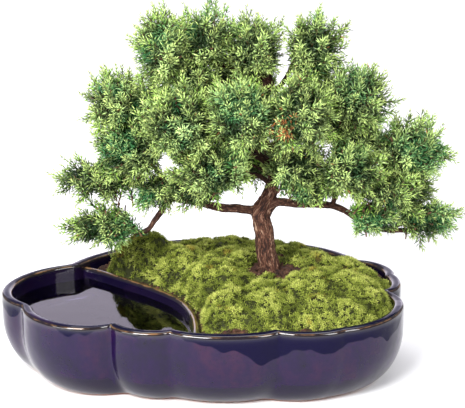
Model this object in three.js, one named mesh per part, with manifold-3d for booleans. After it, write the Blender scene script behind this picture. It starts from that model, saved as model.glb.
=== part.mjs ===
// A juniper bonsai planted in a lobed, glazed water-and-land tray.
// The tray is one fired piece: lobed wall, floor, foot ring and the curved divider that fences off a
// small pool. The other side holds soil with moss cushions and the tree, whose trunk and limbs grew as
// one piece of wood. Each foliage pad is the closed outer shape of one cloud of needles on its own limb.
// Units are millimetres, +Z is up, +X runs along the tray's length. The origin is the centre of the
// tray's underside, on the resting face of the rib that crosses it.
import * as THREE from "three";
import { mergeVertices } from "three/addons/utils/BufferGeometryUtils.js";
import Module from "manifold-3d";

const wasm = await Module();
wasm.setup();

// ---- Driving dimensions ----
const TRAY_LENGTH = 305;
const TRAY_DEPTH = 220;
const TRAY_HEIGHT = 60;
const WALL = 8;
const FLOOR_THICKNESS = 7;
const FOOT_HEIGHT = 3; // depth of the recess under the floor
const FOOT_WIDTH = 13; // width of the resting ring around that recess
const FOOT_RIB_WIDTH = 16; // width of the rib across the recess
const WALL_TUCK = 22; // how far the wall draws in at its foot
const TUCK_HEIGHT = 40; // height at which the wall starts to draw in
const RIM_ROUND = 3; // height of the rim's rounding
const INNER_TUCK = 16; // how far the inside corner of the floor is rounded in
const DIVIDER_THICKNESS = 6.5;
const DIVIDER_DROP = 5; // how far the divider's top lies below the rim
const DRAIN_RADIUS = 6;
const MESH_SIZE = 26; // side of the square of netting over each drain hole
const MESH_THICKNESS = 1.2;
const MESH_CELLS = 3; // openings along each side of that square
const MESH_STRAND = 1.4;
const WATER_DROP = 13; // how far the water lies below the rim
const SOIL_DROP = 10; // how far the soil's edge lies below the rim
const MOUND_RISE = 20; // height of the soil's mound above its edge
const MOSS_SINK = 3; // how far a cushion's middle lies below the soil's surface
const TREE_HEIGHT = 207; // from the soil at the trunk to the top of the crown
const TRUNK_RADIUS = 7.4;
const LIMB_RADII = [3.6, 1.4]; // of a side limb, at the trunk and at its tip
const BRANCH_RADII = [2, 1]; // of a branch, at its limb and inside its foliage
const ROOT_RADII = [3.8, 1.2]; // of a surface root, at the trunk and where it goes under
const ROOT_RISE = 9; // how high up the trunk a surface root starts
const ROOT_DIP = 4; // how deep its end lies in the soil
const GAP = 0.3; // clearance between pieces that touch

// ---- What follows from them ----
const HALF_LENGTH = TRAY_LENGTH / 2;
const HALF_DEPTH = TRAY_DEPTH / 2;
const FLOOR_TOP = FOOT_HEIGHT + FLOOR_THICKNESS;
const DIVIDER_TOP = TRAY_HEIGHT - DIVIDER_DROP;
const WATER_TOP = TRAY_HEIGHT - WATER_DROP;
const SOIL_EDGE = TRAY_HEIGHT - SOIL_DROP;
const ABOVE_ALL = TRAY_HEIGHT + TREE_HEIGHT; // a height that clears the tray and everything planted in it
const DRAWN_TREE_HEIGHT = 200; // the limb routes and pads are drawn for a tree this tall
const GROWTH = TREE_HEIGHT / DRAWN_TREE_HEIGHT;
const DRAWN_TRAY = [305, 220]; // the moss cushions are drawn for a tray this long and this deep
const SPREAD = [TRAY_LENGTH / DRAWN_TRAY[0], TRAY_DEPTH / DRAWN_TRAY[1], 1];
const LOBE_STEPS = 5; // points along each lobe of the outline

// Where two lobes of the tray meet, as shares of the half length and half depth, and for the lobe that
// starts there: how far it stands out from the straight line to the next notch, in millimetres, and
// how far it leans along that line.
const LOBES = [
  { notch: [-0.695, 0.4], bulge: 30, lean: 0.08 },
  { notch: [-0.872, -0.427], bulge: 20, lean: 0.05 },
  { notch: [-0.425, -0.79], bulge: 8, lean: 0 },
  { notch: [-0.144, -0.905], bulge: 10, lean: 0 },
  { notch: [0.367, -0.909], bulge: 6, lean: 0 },
  { notch: [0.675, -0.873], bulge: 23, lean: 0.08 },
  { notch: [0.925, -0.145], bulge: 7.5, lean: -0.1 },
  { notch: [0.975, 0.2], bulge: 9, lean: 0 },
  { notch: [0.8, 0.49], bulge: 9, lean: 0 },
  { notch: [0.446, 0.873], bulge: 6, lean: 0 },
  { notch: [0.118, 0.93], bulge: 10, lean: 0 },
  { notch: [-0.341, 0.82], bulge: 7, lean: -0.05 },
];

// The divider's centre line in plan, from the back wall round the pool to the front wall, as shares of
// the half length and half depth.
const DIVIDER_LINE = [
  [-0.68, 0.5],
  [-0.551, 0.4],
  [-0.393, 0.209],
  [-0.236, 0.009],
  [-0.118, -0.191],
  [-0.052, -0.418],
  [-0.026, -0.655],
  [-0.026, -0.95],
];
const DRAIN_HOLES = [
  [0.2, 0.32],
  [0.5, -0.2],
];
const TRUNK_AT = [0.315, 0]; // the trunk's foot, as shares of the half length and half depth

// The tree's routes and pads are in millimetres from the trunk's foot, for the drawn height.
const TRUNK = [
  [2, 0, -15],
  [3, 0, 2],
  [0, 0, 16],
  [-1, 0, 30],
  [-3, 0, 39],
  [-4, 0, 46],
  [1, 1, 55],
  [5, 3, 66],
  [7, 3, 78],
  [9, 5, 97],
  [10, 6, 114],
  [6, 8, 133],
  [0, 10, 150],
];
const LEFT_LIMB = [
  [-3, 0, 42],
  [-8, 0, 46],
  [-19, -1, 48],
  [-31, -2, 49],
  [-45, -2, 52],
  [-60, -2, 55],
  [-71, -3, 56],
  [-75, -3, 48],
  [-81, -4, 40],
  [-86, -4, 33],
  [-92, -4, 31],
  [-100, -4, 31],
  [-112, -4, 31],
];
const RIGHT_LIMB = [
  [-1, 0, 42],
  [3, -1, 49],
  [8, -1, 53],
  [14, -1, 53],
  [22, -2, 52],
  [33, -2, 52],
  [48, -3, 51],
  [56, -3, 48],
  [64, -4, 43],
  [72, -5, 37],
  [88, -5, 33],
  [104, -5, 33],
  [122, -5, 34],
  [134, -5, 36],
];
// Surface roots: the direction in degrees seen from above, and the length over the soil.
const ROOTS = [
  { turn: 5, length: 22 },
  { turn: 62, length: 15 },
  { turn: 128, length: 18 },
  { turn: 196, length: 16 },
  { turn: 250, length: 19 },
  { turn: 318, length: 17 },
];

// Each foliage pad: its centre and half sizes, and the branch that carries it, from a point on a limb.
const PADS = [
  { name: "foliage_apex_left", at: [-44, 0, 174], half: [21, 23, 21], from: [3, 9, 141] },
  { name: "foliage_upper_left", at: [-73, -5, 167], half: [21, 24, 25], from: [5, 8, 135] },
  { name: "foliage_apex_middle", at: [-10, 5, 165], half: [23, 25, 23], from: [0, 10, 148] },
  { name: "foliage_apex_right", at: [33, 0, 167], half: [22, 24, 27], from: [6, 9, 133] },
  { name: "foliage_shoulder_right", at: [65, -5, 132], half: [23, 27, 23], from: [10, 6, 116] },
  { name: "foliage_right_middle", at: [105, 0, 91], half: [29, 26, 21], from: [9, 5, 97] },
  { name: "foliage_right_low", at: [96, -10, 65], half: [31, 24, 16], from: [64, -4, 43] },
  { name: "foliage_right_tip", at: [117, -5, 41], half: [23, 17, 14], from: [88, -5, 33] },
  { name: "foliage_right_inner", at: [59, -21, 82], half: [26, 21, 19], from: [48, -3, 51] },
  { name: "foliage_shoulder_left", at: [-107, -5, 128], half: [22, 25, 22], from: [9, 5, 99] },
  { name: "foliage_left_low", at: [-124, 0, 71], half: [32, 24, 15], from: [-71, -3, 56] },
  { name: "foliage_left_tip", at: [-119, -5, 34], half: [28, 19, 14], from: [-92, -4, 31] },
  { name: "foliage_left_inner", at: [-97, -14, 96], half: [28, 23, 24], from: [-60, -2, 55] },
  { name: "foliage_left_hanging", at: [-80, -6, 63], half: [19, 16, 12], from: [-60, -2, 55] },
  { name: "foliage_front_left", at: [-61, -34, 120], half: [28, 23, 26], from: [7, 3, 78] },
  { name: "foliage_front_middle", at: [-20, -41, 129], half: [28, 23, 28], from: [8, 4, 84] },
  { name: "foliage_front_low", at: [-39, -33, 87], half: [28, 21, 19], from: [5, 3, 64] },
  { name: "foliage_front_right", at: [20, -37, 128], half: [28, 23, 26], from: [8, 4, 90] },
  { name: "foliage_under_right", at: [24, -14, 85], half: [26, 21, 18], from: [5, 3, 66] },
  { name: "foliage_back_left", at: [-86, 48, 106], half: [35, 29, 27], from: [7, 3, 80] },
  { name: "foliage_back_middle", at: [-20, 56, 119], half: [37, 29, 32], from: [9, 5, 98] },
  { name: "foliage_back_right", at: [48, 48, 110], half: [35, 29, 27], from: [9, 5, 94] },
  { name: "foliage_back_low", at: [-19, 43, 74], half: [43, 27, 18], from: [5, 3, 66] },
];

// Each moss cushion: its centre as shares of the half length and half depth, its half sizes and its turn.
const MOSS = [
  { name: "moss_back_left", at: [-0.33, 0.3], half: [22, 18, 26], turn: 20 },
  { name: "moss_left", at: [-0.12, 0.2], half: [18, 22, 17], turn: -25 },
  { name: "moss_back_middle", at: [0.12, 0.62], half: [30, 24, 16], turn: 5 },
  { name: "moss_front_left", at: [0.03, -0.24], half: [26, 24, 16], turn: 20 },
  { name: "moss_middle", at: [0.13, 0.16], half: [20, 18, 14], turn: 0 },
  { name: "moss_front_corner", at: [0.08, -0.56], half: [20, 22, 14], turn: 10 },
  { name: "moss_front_middle", at: [0.31, -0.54], half: [28, 24, 14], turn: -15 },
  { name: "moss_front_right", at: [0.65, -0.43], half: [34, 32, 22], turn: 15 },
  { name: "moss_back_right", at: [0.61, 0.24], half: [30, 24, 14], turn: -10 },
  { name: "moss_back_edge", at: [0.48, 0.66], half: [28, 20, 12], turn: -10 },
  { name: "moss_right", at: [0.84, 0.04], half: [16, 20, 12], turn: 0 },
  { name: "moss_trunk_front", at: [0.42, -0.25], half: [18, 14, 10], turn: 15 },
  { name: "moss_right_corner", at: [0.85, -0.26], half: [12, 15, 10], turn: 20 },
  { name: "moss_back_corner", at: [-0.1, 0.66], half: [18, 15, 13], turn: 0 },
];

// ---- Helpers: closed meshes and solids ----
function solid(geometry) {
  const bare = geometry.clone();
  bare.deleteAttribute("normal");
  bare.deleteAttribute("uv");
  const merged = mergeVertices(bare, 1e-4);
  return new wasm.Manifold(
    new wasm.Mesh({
      numProp: 3,
      vertProperties: new Float32Array(merged.attributes.position.array),
      triVerts: new Uint32Array(merged.index.array),
    }),
  );
}

function geometryOf(shape) {
  const made = shape.getMesh();
  const geometry = new THREE.BufferGeometry();
  const positions = new Float32Array(made.numVert * 3);
  for (let i = 0; i < made.numVert; i++) {
    const start = i * made.numProp;
    positions.set(made.vertProperties.subarray(start, start + 3), i * 3);
  }
  geometry.setAttribute("position", new THREE.BufferAttribute(positions, 3));
  geometry.setIndex(new THREE.BufferAttribute(new Uint32Array(made.triVerts), 1));
  geometry.computeVertexNormals();
  return geometry;
}

// The piece of a cut solid that a test picks: the one with the highest score.
function bestPiece(shape, score) {
  const pieces = shape.decompose();
  return pieces.reduce((best, piece) => (score(piece) > score(best) ? piece : best));
}

const biggest = (shape) => bestPiece(shape, (piece) => piece.volume());
const leftmost = (shape) => bestPiece(shape, (piece) => -piece.boundingBox().min[0]);
const rightmost = (shape) => bestPiece(shape, (piece) => piece.boundingBox().max[0]);

// A closed solid through rings with equal numbers of points, capped by a fan at each end.
function loft(rings) {
  const count = rings[0].length;
  const positions = [];
  const triangles = [];
  rings.forEach((ring) => ring.forEach((p) => positions.push(p.x, p.y, p.z)));
  for (let r = 0; r + 1 < rings.length; r++) {
    for (let i = 0; i < count; i++) {
      const a = r * count + i;
      const b = r * count + ((i + 1) % count);
      triangles.push(a, b, b + count, a, b + count, a + count);
    }
  }
  [0, rings.length - 1].forEach((r) => {
    const centre = new THREE.Vector3();
    rings[r].forEach((p) => centre.addScaledVector(p, 1 / count));
    positions.push(centre.x, centre.y, centre.z);
    const hub = positions.length / 3 - 1;
    for (let i = 0; i < count; i++) {
      const a = r * count + i;
      const b = r * count + ((i + 1) % count);
      triangles.push(...(r === 0 ? [hub, b, a] : [hub, a, b]));
    }
  });
  const geometry = new THREE.BufferGeometry();
  geometry.setAttribute("position", new THREE.Float32BufferAttribute(positions, 3));
  geometry.setIndex(triangles);
  return solid(geometry);
}

// ---- The tray's outline and walls ----
function trayOutline() {
  const corners = LOBES.map(({ notch }) => new THREE.Vector2(notch[0] * HALF_LENGTH, notch[1] * HALF_DEPTH));
  const path = new THREE.Path();
  path.moveTo(corners[0].x, corners[0].y);
  LOBES.forEach(({ bulge, lean }, i) => {
    const start = corners[i];
    const end = corners[(i + 1) % corners.length];
    const chord = end.clone().sub(start);
    const out = new THREE.Vector2(chord.y, -chord.x).normalize();
    out.multiplyScalar((bulge * 4) / 3); // a cubic curve reaches three quarters of its handles' height
    const first = start.clone().addScaledVector(chord, 0.2 + lean).add(out);
    const second = end.clone().addScaledVector(chord, lean - 0.2).add(out);
    path.bezierCurveTo(first.x, first.y, second.x, second.y, end.x, end.y);
  });
  return path.getPoints(LOBE_STEPS).slice(0, -1);
}

const OUTLINE = trayOutline();

// The outline drawn in towards the tray's middle by a distance, at a height.
function ringAt(inset, z) {
  return OUTLINE.map((p) => {
    const share = 1 - inset / p.length();
    return new THREE.Vector3(p.x * share, p.y * share, z);
  });
}

// How far the outside of the wall is drawn in at a height.
function outerTuck(z) {
  const down = Math.max(0, (TUCK_HEIGHT - z) / TUCK_HEIGHT);
  return WALL_TUCK * (1 - Math.sqrt(1 - (0.97 * down) ** 2)) * 1.3;
}

// How far the inside of the wall is drawn in at a height above the floor.
function innerTuck(z) {
  const reach = TUCK_HEIGHT - FLOOR_TOP;
  const down = THREE.MathUtils.clamp((TUCK_HEIGHT - z) / reach, 0, 1);
  return WALL + INNER_TUCK * (1 - Math.sqrt(1 - down ** 2));
}

const OUTER_HEIGHTS = [0, 5, 13, 25, TUCK_HEIGHT];
const INNER_HEIGHTS = [TUCK_HEIGHT, 22, 13];

// The space inside the wall, from the floor up to a height, standing clear of both by a gap.
function cavity(gap, top) {
  const heights = [FLOOR_TOP, ...INNER_HEIGHTS.toReversed()];
  const rings = heights.map((z) => ringAt(innerTuck(z) + gap, z + gap));
  return loft([...rings, ringAt(WALL + gap, top)]);
}

// A wall that follows the divider's line, from one height to another, its edges rounded.
function dividerWall(thickness, low, high, round) {
  const line = DIVIDER_LINE.map(([x, y]) => new THREE.Vector2(x * HALF_LENGTH, y * HALF_DEPTH));
  const curve = new THREE.SplineCurve(line);
  const steps = 14;
  const side = (sign) =>
    Array.from({ length: steps + 1 }, (_, i) => {
      const point = curve.getPoint(i / steps);
      const along = curve.getTangent(i / steps);
      const reach = (sign * thickness) / 2;
      return new THREE.Vector2(point.x - along.y * reach, point.y + along.x * reach);
    });
  const shape = new THREE.Shape([...side(-1), ...side(1).toReversed()]);
  const wall = new THREE.ExtrudeGeometry(shape, {
    depth: high - low - 2 * round,
    bevelEnabled: round > 0,
    bevelThickness: round,
    bevelSize: round,
    bevelOffset: -round,
    bevelSegments: 2,
  });
  return solid(wall.translate(0, 0, low + round));
}

function box(width, depth, height, x, y, z) {
  const block = new THREE.BoxGeometry(width, depth, height);
  block.translate(x, y, z);
  return solid(block);
}

function drainCentres() {
  return DRAIN_HOLES.map(([x, y]) => new THREE.Vector2(x * HALF_LENGTH, y * HALF_DEPTH));
}

function makeTray() {
  const rim = TRAY_HEIGHT - RIM_ROUND;
  const rings = [
    ...OUTER_HEIGHTS.map((z) => ringAt(outerTuck(z), z)),
    ringAt(0, rim),
    ringAt(WALL * 0.16, TRAY_HEIGHT - RIM_ROUND * 0.3),
    ringAt(WALL * 0.5, TRAY_HEIGHT),
    ringAt(WALL * 0.84, TRAY_HEIGHT - RIM_ROUND * 0.3),
    ringAt(WALL, rim),
    ...INNER_HEIGHTS.map((z) => ringAt(innerTuck(z), z)),
    ringAt(innerTuck(FLOOR_TOP), FLOOR_TOP),
  ];
  const envelope = loft([...OUTER_HEIGHTS, rim].map((z) => ringAt(outerTuck(z) + WALL * 0.4, z)));
  const divider = dividerWall(DIVIDER_THICKNESS, FLOOR_TOP - 1, DIVIDER_TOP, 2);
  const recess = loft([-1, FOOT_HEIGHT].map((z) => ringAt(outerTuck(0) + FOOT_WIDTH, z)));
  const rib = box(FOOT_RIB_WIDTH, TRAY_DEPTH, FOOT_HEIGHT * 4, 0, 0, 0);
  let tray = loft(rings).add(divider.intersect(envelope)).subtract(recess.subtract(rib));
  drainCentres().forEach((at) => {
    const hole = new THREE.CylinderGeometry(DRAIN_RADIUS, DRAIN_RADIUS, FLOOR_TOP * 3, 16);
    hole.rotateX(Math.PI / 2).translate(at.x, at.y, 0);
    tray = tray.subtract(solid(hole));
  });
  return tray;
}

// ---- Pool and soil ----
const mouldLine = () => dividerWall(DIVIDER_THICKNESS + 2 * GAP, 0, ABOVE_ALL, 0);

function makeWater() {
  return leftmost(cavity(GAP, WATER_TOP).subtract(mouldLine()));
}

const SOIL_TOP = SOIL_EDGE + MOUND_RISE;
const trunkFoot = new THREE.Vector3(TRUNK_AT[0] * HALF_LENGTH, TRUNK_AT[1] * HALF_DEPTH, SOIL_TOP);

// Everything below the soil's surface, lifted by a gap: flat at the wall, rising to the trunk's foot.
function belowSoil(gap) {
  const rings = [ringAt(0, 0), ringAt(0, SOIL_EDGE + gap)];
  const steps = 4;
  for (let k = 1; k < steps; k++) {
    const share = k / steps;
    const z = SOIL_EDGE + gap + MOUND_RISE * Math.sin((share * Math.PI) / 2);
    const centre = new THREE.Vector3(trunkFoot.x, trunkFoot.y, z);
    rings.push(ringAt(0, z).map((p) => p.lerp(centre, share)));
  }
  const top = SOIL_EDGE + gap + MOUND_RISE;
  rings.push(ringAt(0, top).map((p) => p.lerp(new THREE.Vector3(trunkFoot.x, trunkFoot.y, top), 0.96)));
  return loft(rings);
}

// Height of the soil's surface over a point in plan, read along the ray from the trunk's foot.
function soilHeight(x, y) {
  const offset = new THREE.Vector2(x - trunkFoot.x, y - trunkFoot.y);
  if (offset.length() < 1) return SOIL_EDGE + MOUND_RISE;
  let edge = Infinity;
  OUTLINE.forEach((a, i) => {
    const b = OUTLINE[(i + 1) % OUTLINE.length];
    const side = new THREE.Vector2(b.x - a.x, b.y - a.y);
    const reach = new THREE.Vector2(a.x - trunkFoot.x, a.y - trunkFoot.y);
    const turn = offset.cross(side);
    const along = reach.cross(side) / turn;
    const across = reach.cross(offset) / turn;
    if (across >= 0 && across <= 1 && along > 0) edge = Math.min(edge, along);
  });
  const share = THREE.MathUtils.clamp(1 - 1 / edge, 0, 1);
  return SOIL_EDGE + MOUND_RISE * Math.sin((share * Math.PI) / 2);
}

function makeSoil(woodSpace, meshSpaces) {
  let soil = cavity(GAP, ABOVE_ALL).intersect(belowSoil(0)).subtract(mouldLine());
  soil = rightmost(soil);
  meshSpaces.forEach((space) => {
    soil = soil.subtract(space);
  });
  return biggest(soil.subtract(woodSpace));
}

// ---- Netting over the drain holes ----
// A cut square of grid: one row of strands each way, joined where they cross, with free ends all round.
function makeDrainMesh(at) {
  const z = FLOOR_TOP + GAP + MESH_THICKNESS / 2;
  const strands = [];
  for (let i = 0; i <= MESH_CELLS; i++) {
    const offset = (i / MESH_CELLS - 0.5) * (MESH_SIZE - 3 * MESH_STRAND);
    strands.push(box(MESH_SIZE, MESH_STRAND, MESH_THICKNESS, at.x, at.y + offset, z));
    strands.push(box(MESH_STRAND, MESH_SIZE, MESH_THICKNESS * 0.7, at.x + offset, at.y, z));
  }
  return strands.reduce((grid, strand) => grid.add(strand));
}

// The room that the soil leaves for the netting over a drain hole.
function meshSpace(at) {
  const side = MESH_SIZE + 2 * GAP;
  const top = FLOOR_TOP + MESH_THICKNESS + 2 * GAP;
  return box(side, side, top, at.x, at.y, top / 2);
}

// ---- Wood ----
const treePoint = ([x, y, z]) => new THREE.Vector3(x, y, z).multiplyScalar(GROWTH).add(trunkFoot);

// A tapered round limb: a cylinder bent along a curve through points, grown by a gap all round.
function limb(points, [thick, thin], sides, steps, gap) {
  const curve = new THREE.CatmullRomCurve3(points);
  const frames = curve.computeFrenetFrames(steps, false);
  const bar = new THREE.CylinderGeometry(1, 1, 1, sides, steps);
  const position = bar.attributes.position;
  for (let i = 0; i < position.count; i++) {
    const share = position.getY(i) + 0.5;
    const step = Math.round(share * steps);
    const radius = THREE.MathUtils.lerp(thick, thin, share ** 0.8) + gap;
    const at = curve.getPointAt(step / steps);
    if (gap > 0 && step === steps) at.addScaledVector(frames.tangents[step], gap);
    at.addScaledVector(frames.normals[step], -position.getX(i) * radius);
    at.addScaledVector(frames.binormals[step], position.getZ(i) * radius);
    position.setXYZ(i, at.x, at.y, at.z);
  }
  return solid(bar);
}

function rootPoints({ turn, length }) {
  const angle = THREE.MathUtils.degToRad(turn);
  const at = (reach, lift) => {
    const x = trunkFoot.x + reach * Math.cos(angle);
    const y = trunkFoot.y + reach * Math.sin(angle);
    return new THREE.Vector3(x, y, soilHeight(x, y) + lift);
  };
  const bark = TRUNK_RADIUS;
  const along = (share) => bark + length * share;
  return [at(0, ROOT_RISE), at(bark, ROOT_RISE / 3), at(along(0.45), 0), at(along(1), -ROOT_DIP)];
}

// The branch that carries a pad: from its limb, lifting a little, to the pad's middle.
function branchPoints({ from, at }) {
  const start = treePoint(from);
  const end = treePoint(at);
  const middle = start.clone().lerp(end, 0.5);
  middle.z += start.distanceTo(end) * 0.06;
  return [start, middle, end];
}

function makeWood(gap) {
  const trunkRadii = [TRUNK_RADIUS * 1.15, TRUNK_RADIUS * 0.25];
  const trunk = limb(TRUNK.map(treePoint), trunkRadii, 10, 14, gap);
  const limbs = [LEFT_LIMB, RIGHT_LIMB].map((route) => limb(route.map(treePoint), LIMB_RADII, 6, 14, gap));
  const roots = ROOTS.map((root) => limb(rootPoints(root), ROOT_RADII, 5, 4, gap));
  const branches = PADS.map((pad) => limb(branchPoints(pad), BRANCH_RADII, 5, 3, gap));
  return [...limbs, ...roots, ...branches].reduce((wood, piece) => wood.add(piece), trunk);
}

// ---- Foliage and moss ----
// A lumpy ball with the half sizes given, grown by a gap.
function cloud(half, gap, seed) {
  const ball = new THREE.IcosahedronGeometry(1, 2);
  const size = new THREE.Vector3(...half);
  const position = ball.attributes.position;
  const point = new THREE.Vector3();
  for (let i = 0; i < position.count; i++) {
    point.fromBufferAttribute(position, i);
    const wide = 0.07 * Math.sin(4 * point.x + seed) * Math.cos(5 * point.y - seed);
    const tall = 0.05 * Math.sin(6 * point.z + 2 * seed);
    const reach = size.clone().multiplyScalar(1 + wide + tall).addScalar(gap);
    position.setXYZ(i, point.x * reach.x, point.y * reach.y, point.z * reach.z);
  }
  return ball;
}

function makePads(woodSpace) {
  const placed = PADS.map((pad, i) => {
    const half = pad.half.map((size) => size * GROWTH);
    const at = treePoint(pad.at);
    const put = (gap) => solid(cloud(half, gap, i).translate(at.x, at.y, at.z));
    return { name: pad.name, shape: put(0), space: put(GAP) };
  });
  return placed.map(({ name, shape }, i) => {
    const cut = placed.slice(0, i).reduce((left, before) => left.subtract(before.space), shape);
    return { name, shape: biggest(cut.subtract(woodSpace)) };
  });
}

function makeMoss(woodSpace) {
  const ground = belowSoil(GAP);
  const bed = rightmost(cavity(GAP, ABOVE_ALL).subtract(mouldLine()));
  const placed = MOSS.map((cushion, i) => {
    const x = cushion.at[0] * HALF_LENGTH;
    const y = cushion.at[1] * HALF_DEPTH;
    const z = soilHeight(x, y) - MOSS_SINK;
    const half = cushion.half.map((size, axis) => size * SPREAD[axis]);
    const put = (gap) => {
      const ball = cloud(half, gap, i + PADS.length);
      ball.rotateZ(THREE.MathUtils.degToRad(cushion.turn)).translate(x, y, z);
      return solid(ball);
    };
    return { name: cushion.name, shape: put(0), space: put(GAP) };
  });
  return placed.map(({ name, shape }, i) => {
    const cut = placed.slice(0, i).reduce((left, before) => left.subtract(before.space), shape);
    return { name, shape: biggest(cut.intersect(bed).subtract(ground).subtract(woodSpace)) };
  });
}

// ---- Assembly ----
const finish = (color, roughness, extra = {}) =>
  new THREE.MeshStandardMaterial({ color, roughness, metalness: 0, ...extra });
const GLAZE = finish(0x1b1a55, 0.12);
const WATER = finish(0x6a6a9a, 0.03, { transparent: true, opacity: 0.6 });
const EARTH = finish(0x3a2418, 0.95);
const NETTING = finish(0x15171a, 0.6);
const BARK = finish(0x6b3d2a, 0.85);
const NEEDLES = finish(0x4f7d3a, 0.6);
const MOSS_GREEN = finish(0x7f9a2c, 0.85);

const bonsai = new THREE.Group();
bonsai.name = "potted_bonsai";

function place(name, shape, material) {
  const mesh = new THREE.Mesh(geometryOf(shape), material);
  mesh.name = name;
  bonsai.add(mesh);
}

const woodSpace = makeWood(GAP);
const drains = drainCentres();
place("tray", makeTray(), GLAZE);
place("pool_water", makeWater(), WATER);
place("soil", makeSoil(woodSpace, drains.map(meshSpace)), EARTH);
drains.forEach((at, i) => place(`drain_mesh_${i + 1}`, makeDrainMesh(at), NETTING));
place("trunk_and_limbs", makeWood(0), BARK);
makePads(woodSpace).forEach(({ name, shape }) => place(name, shape, NEEDLES));
makeMoss(woodSpace).forEach(({ name, shape }) => place(name, shape, MOSS_GREEN));

export default bonsai;
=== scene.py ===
"""A juniper bonsai in a lobed water-and-land tray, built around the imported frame.

Every length is in metres in the frame's own axes: +Z is up, +X runs along the tray and the viewer
stands at -Y. The classes below build the tray, the pool, the soil, the moss, the wood and the needle
clouds in that order, and then the studio that they are seen in.
"""

import logging
import math
from collections.abc import Callable, Sequence
from dataclasses import dataclass, field
from enum import Enum

import bmesh
import bpy
import numpy as np
from mathutils import Matrix, Vector, noise


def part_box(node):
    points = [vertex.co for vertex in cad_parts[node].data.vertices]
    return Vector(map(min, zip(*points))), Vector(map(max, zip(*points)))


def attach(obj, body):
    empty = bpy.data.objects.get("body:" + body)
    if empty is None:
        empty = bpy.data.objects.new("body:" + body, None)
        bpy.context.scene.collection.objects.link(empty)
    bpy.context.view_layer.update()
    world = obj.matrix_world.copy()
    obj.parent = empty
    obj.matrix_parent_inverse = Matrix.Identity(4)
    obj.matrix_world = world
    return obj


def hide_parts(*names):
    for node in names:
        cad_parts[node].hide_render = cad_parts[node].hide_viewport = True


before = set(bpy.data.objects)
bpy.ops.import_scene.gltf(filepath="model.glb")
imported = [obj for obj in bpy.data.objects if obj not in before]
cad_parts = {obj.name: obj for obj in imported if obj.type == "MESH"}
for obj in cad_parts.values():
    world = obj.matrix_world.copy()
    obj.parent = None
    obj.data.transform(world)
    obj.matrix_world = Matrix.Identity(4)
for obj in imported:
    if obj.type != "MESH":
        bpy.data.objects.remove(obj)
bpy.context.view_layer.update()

LOG = logging.getLogger("bonsai")
MM = 0.001
UP = Vector((0, 0, 1))
BODY = "root"
Colour = tuple[float, float, float]


# ---------------------------------------------------------------- shader language
class Wire:
    """A number that flows between shader nodes; Python's operators add the Math nodes."""

    def __init__(self, shader: "Shader", socket: bpy.types.NodeSocket) -> None:
        """Wraps one output socket.

        Args:
            shader: The material that the socket belongs to.
            socket: The output socket that carries the number.
        """
        self.shader = shader
        self.socket = socket

    def math(self, operation: str, *values: "Wire | float", clamp: bool = False) -> "Wire":
        """Adds one Math node.

        Args:
            operation: Blender's name of the operation.
            values: The node's inputs, in order.
            clamp: Whether the result is held between 0 and 1.

        Returns:
            The result.
        """
        inputs = dict(enumerate(values))
        node = self.shader.node("ShaderNodeMath", {"operation": operation, "use_clamp": clamp}, inputs)
        return Wire(self.shader, node.outputs[0])

    def __add__(self, other: "Wire | float") -> "Wire":
        """Sum."""
        return self.math("ADD", self, other)

    def __sub__(self, other: "Wire | float") -> "Wire":
        """Difference."""
        return self.math("SUBTRACT", self, other)

    def __rsub__(self, other: float) -> "Wire":
        """Difference from a plain number."""
        return self.math("SUBTRACT", other, self)

    def __mul__(self, other: "Wire | float") -> "Wire":
        """Product."""
        return self.math("MULTIPLY", self, other)

    __radd__ = __add__
    __rmul__ = __mul__

    def clamped(self) -> "Wire":
        """The same number held between 0 and 1."""
        return self.math("ADD", self, 0.0, clamp=True)

    def step(self, low: float, high: float) -> "Wire":
        """A smooth step that is 0 at low and 1 at high; low may be the larger of the two."""
        settings = {"interpolation_type": "SMOOTHSTEP"}
        node = self.shader.node("ShaderNodeMapRange", settings, {0: self, 1: low, 2: high, 3: 0.0, 4: 1.0})
        return Wire(self.shader, node.outputs[0])


def opaque(colour: object) -> object:
    """A plain colour with its fourth value; a link stays as it is."""
    return (*colour, 1.0) if isinstance(colour, tuple) else colour


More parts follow.
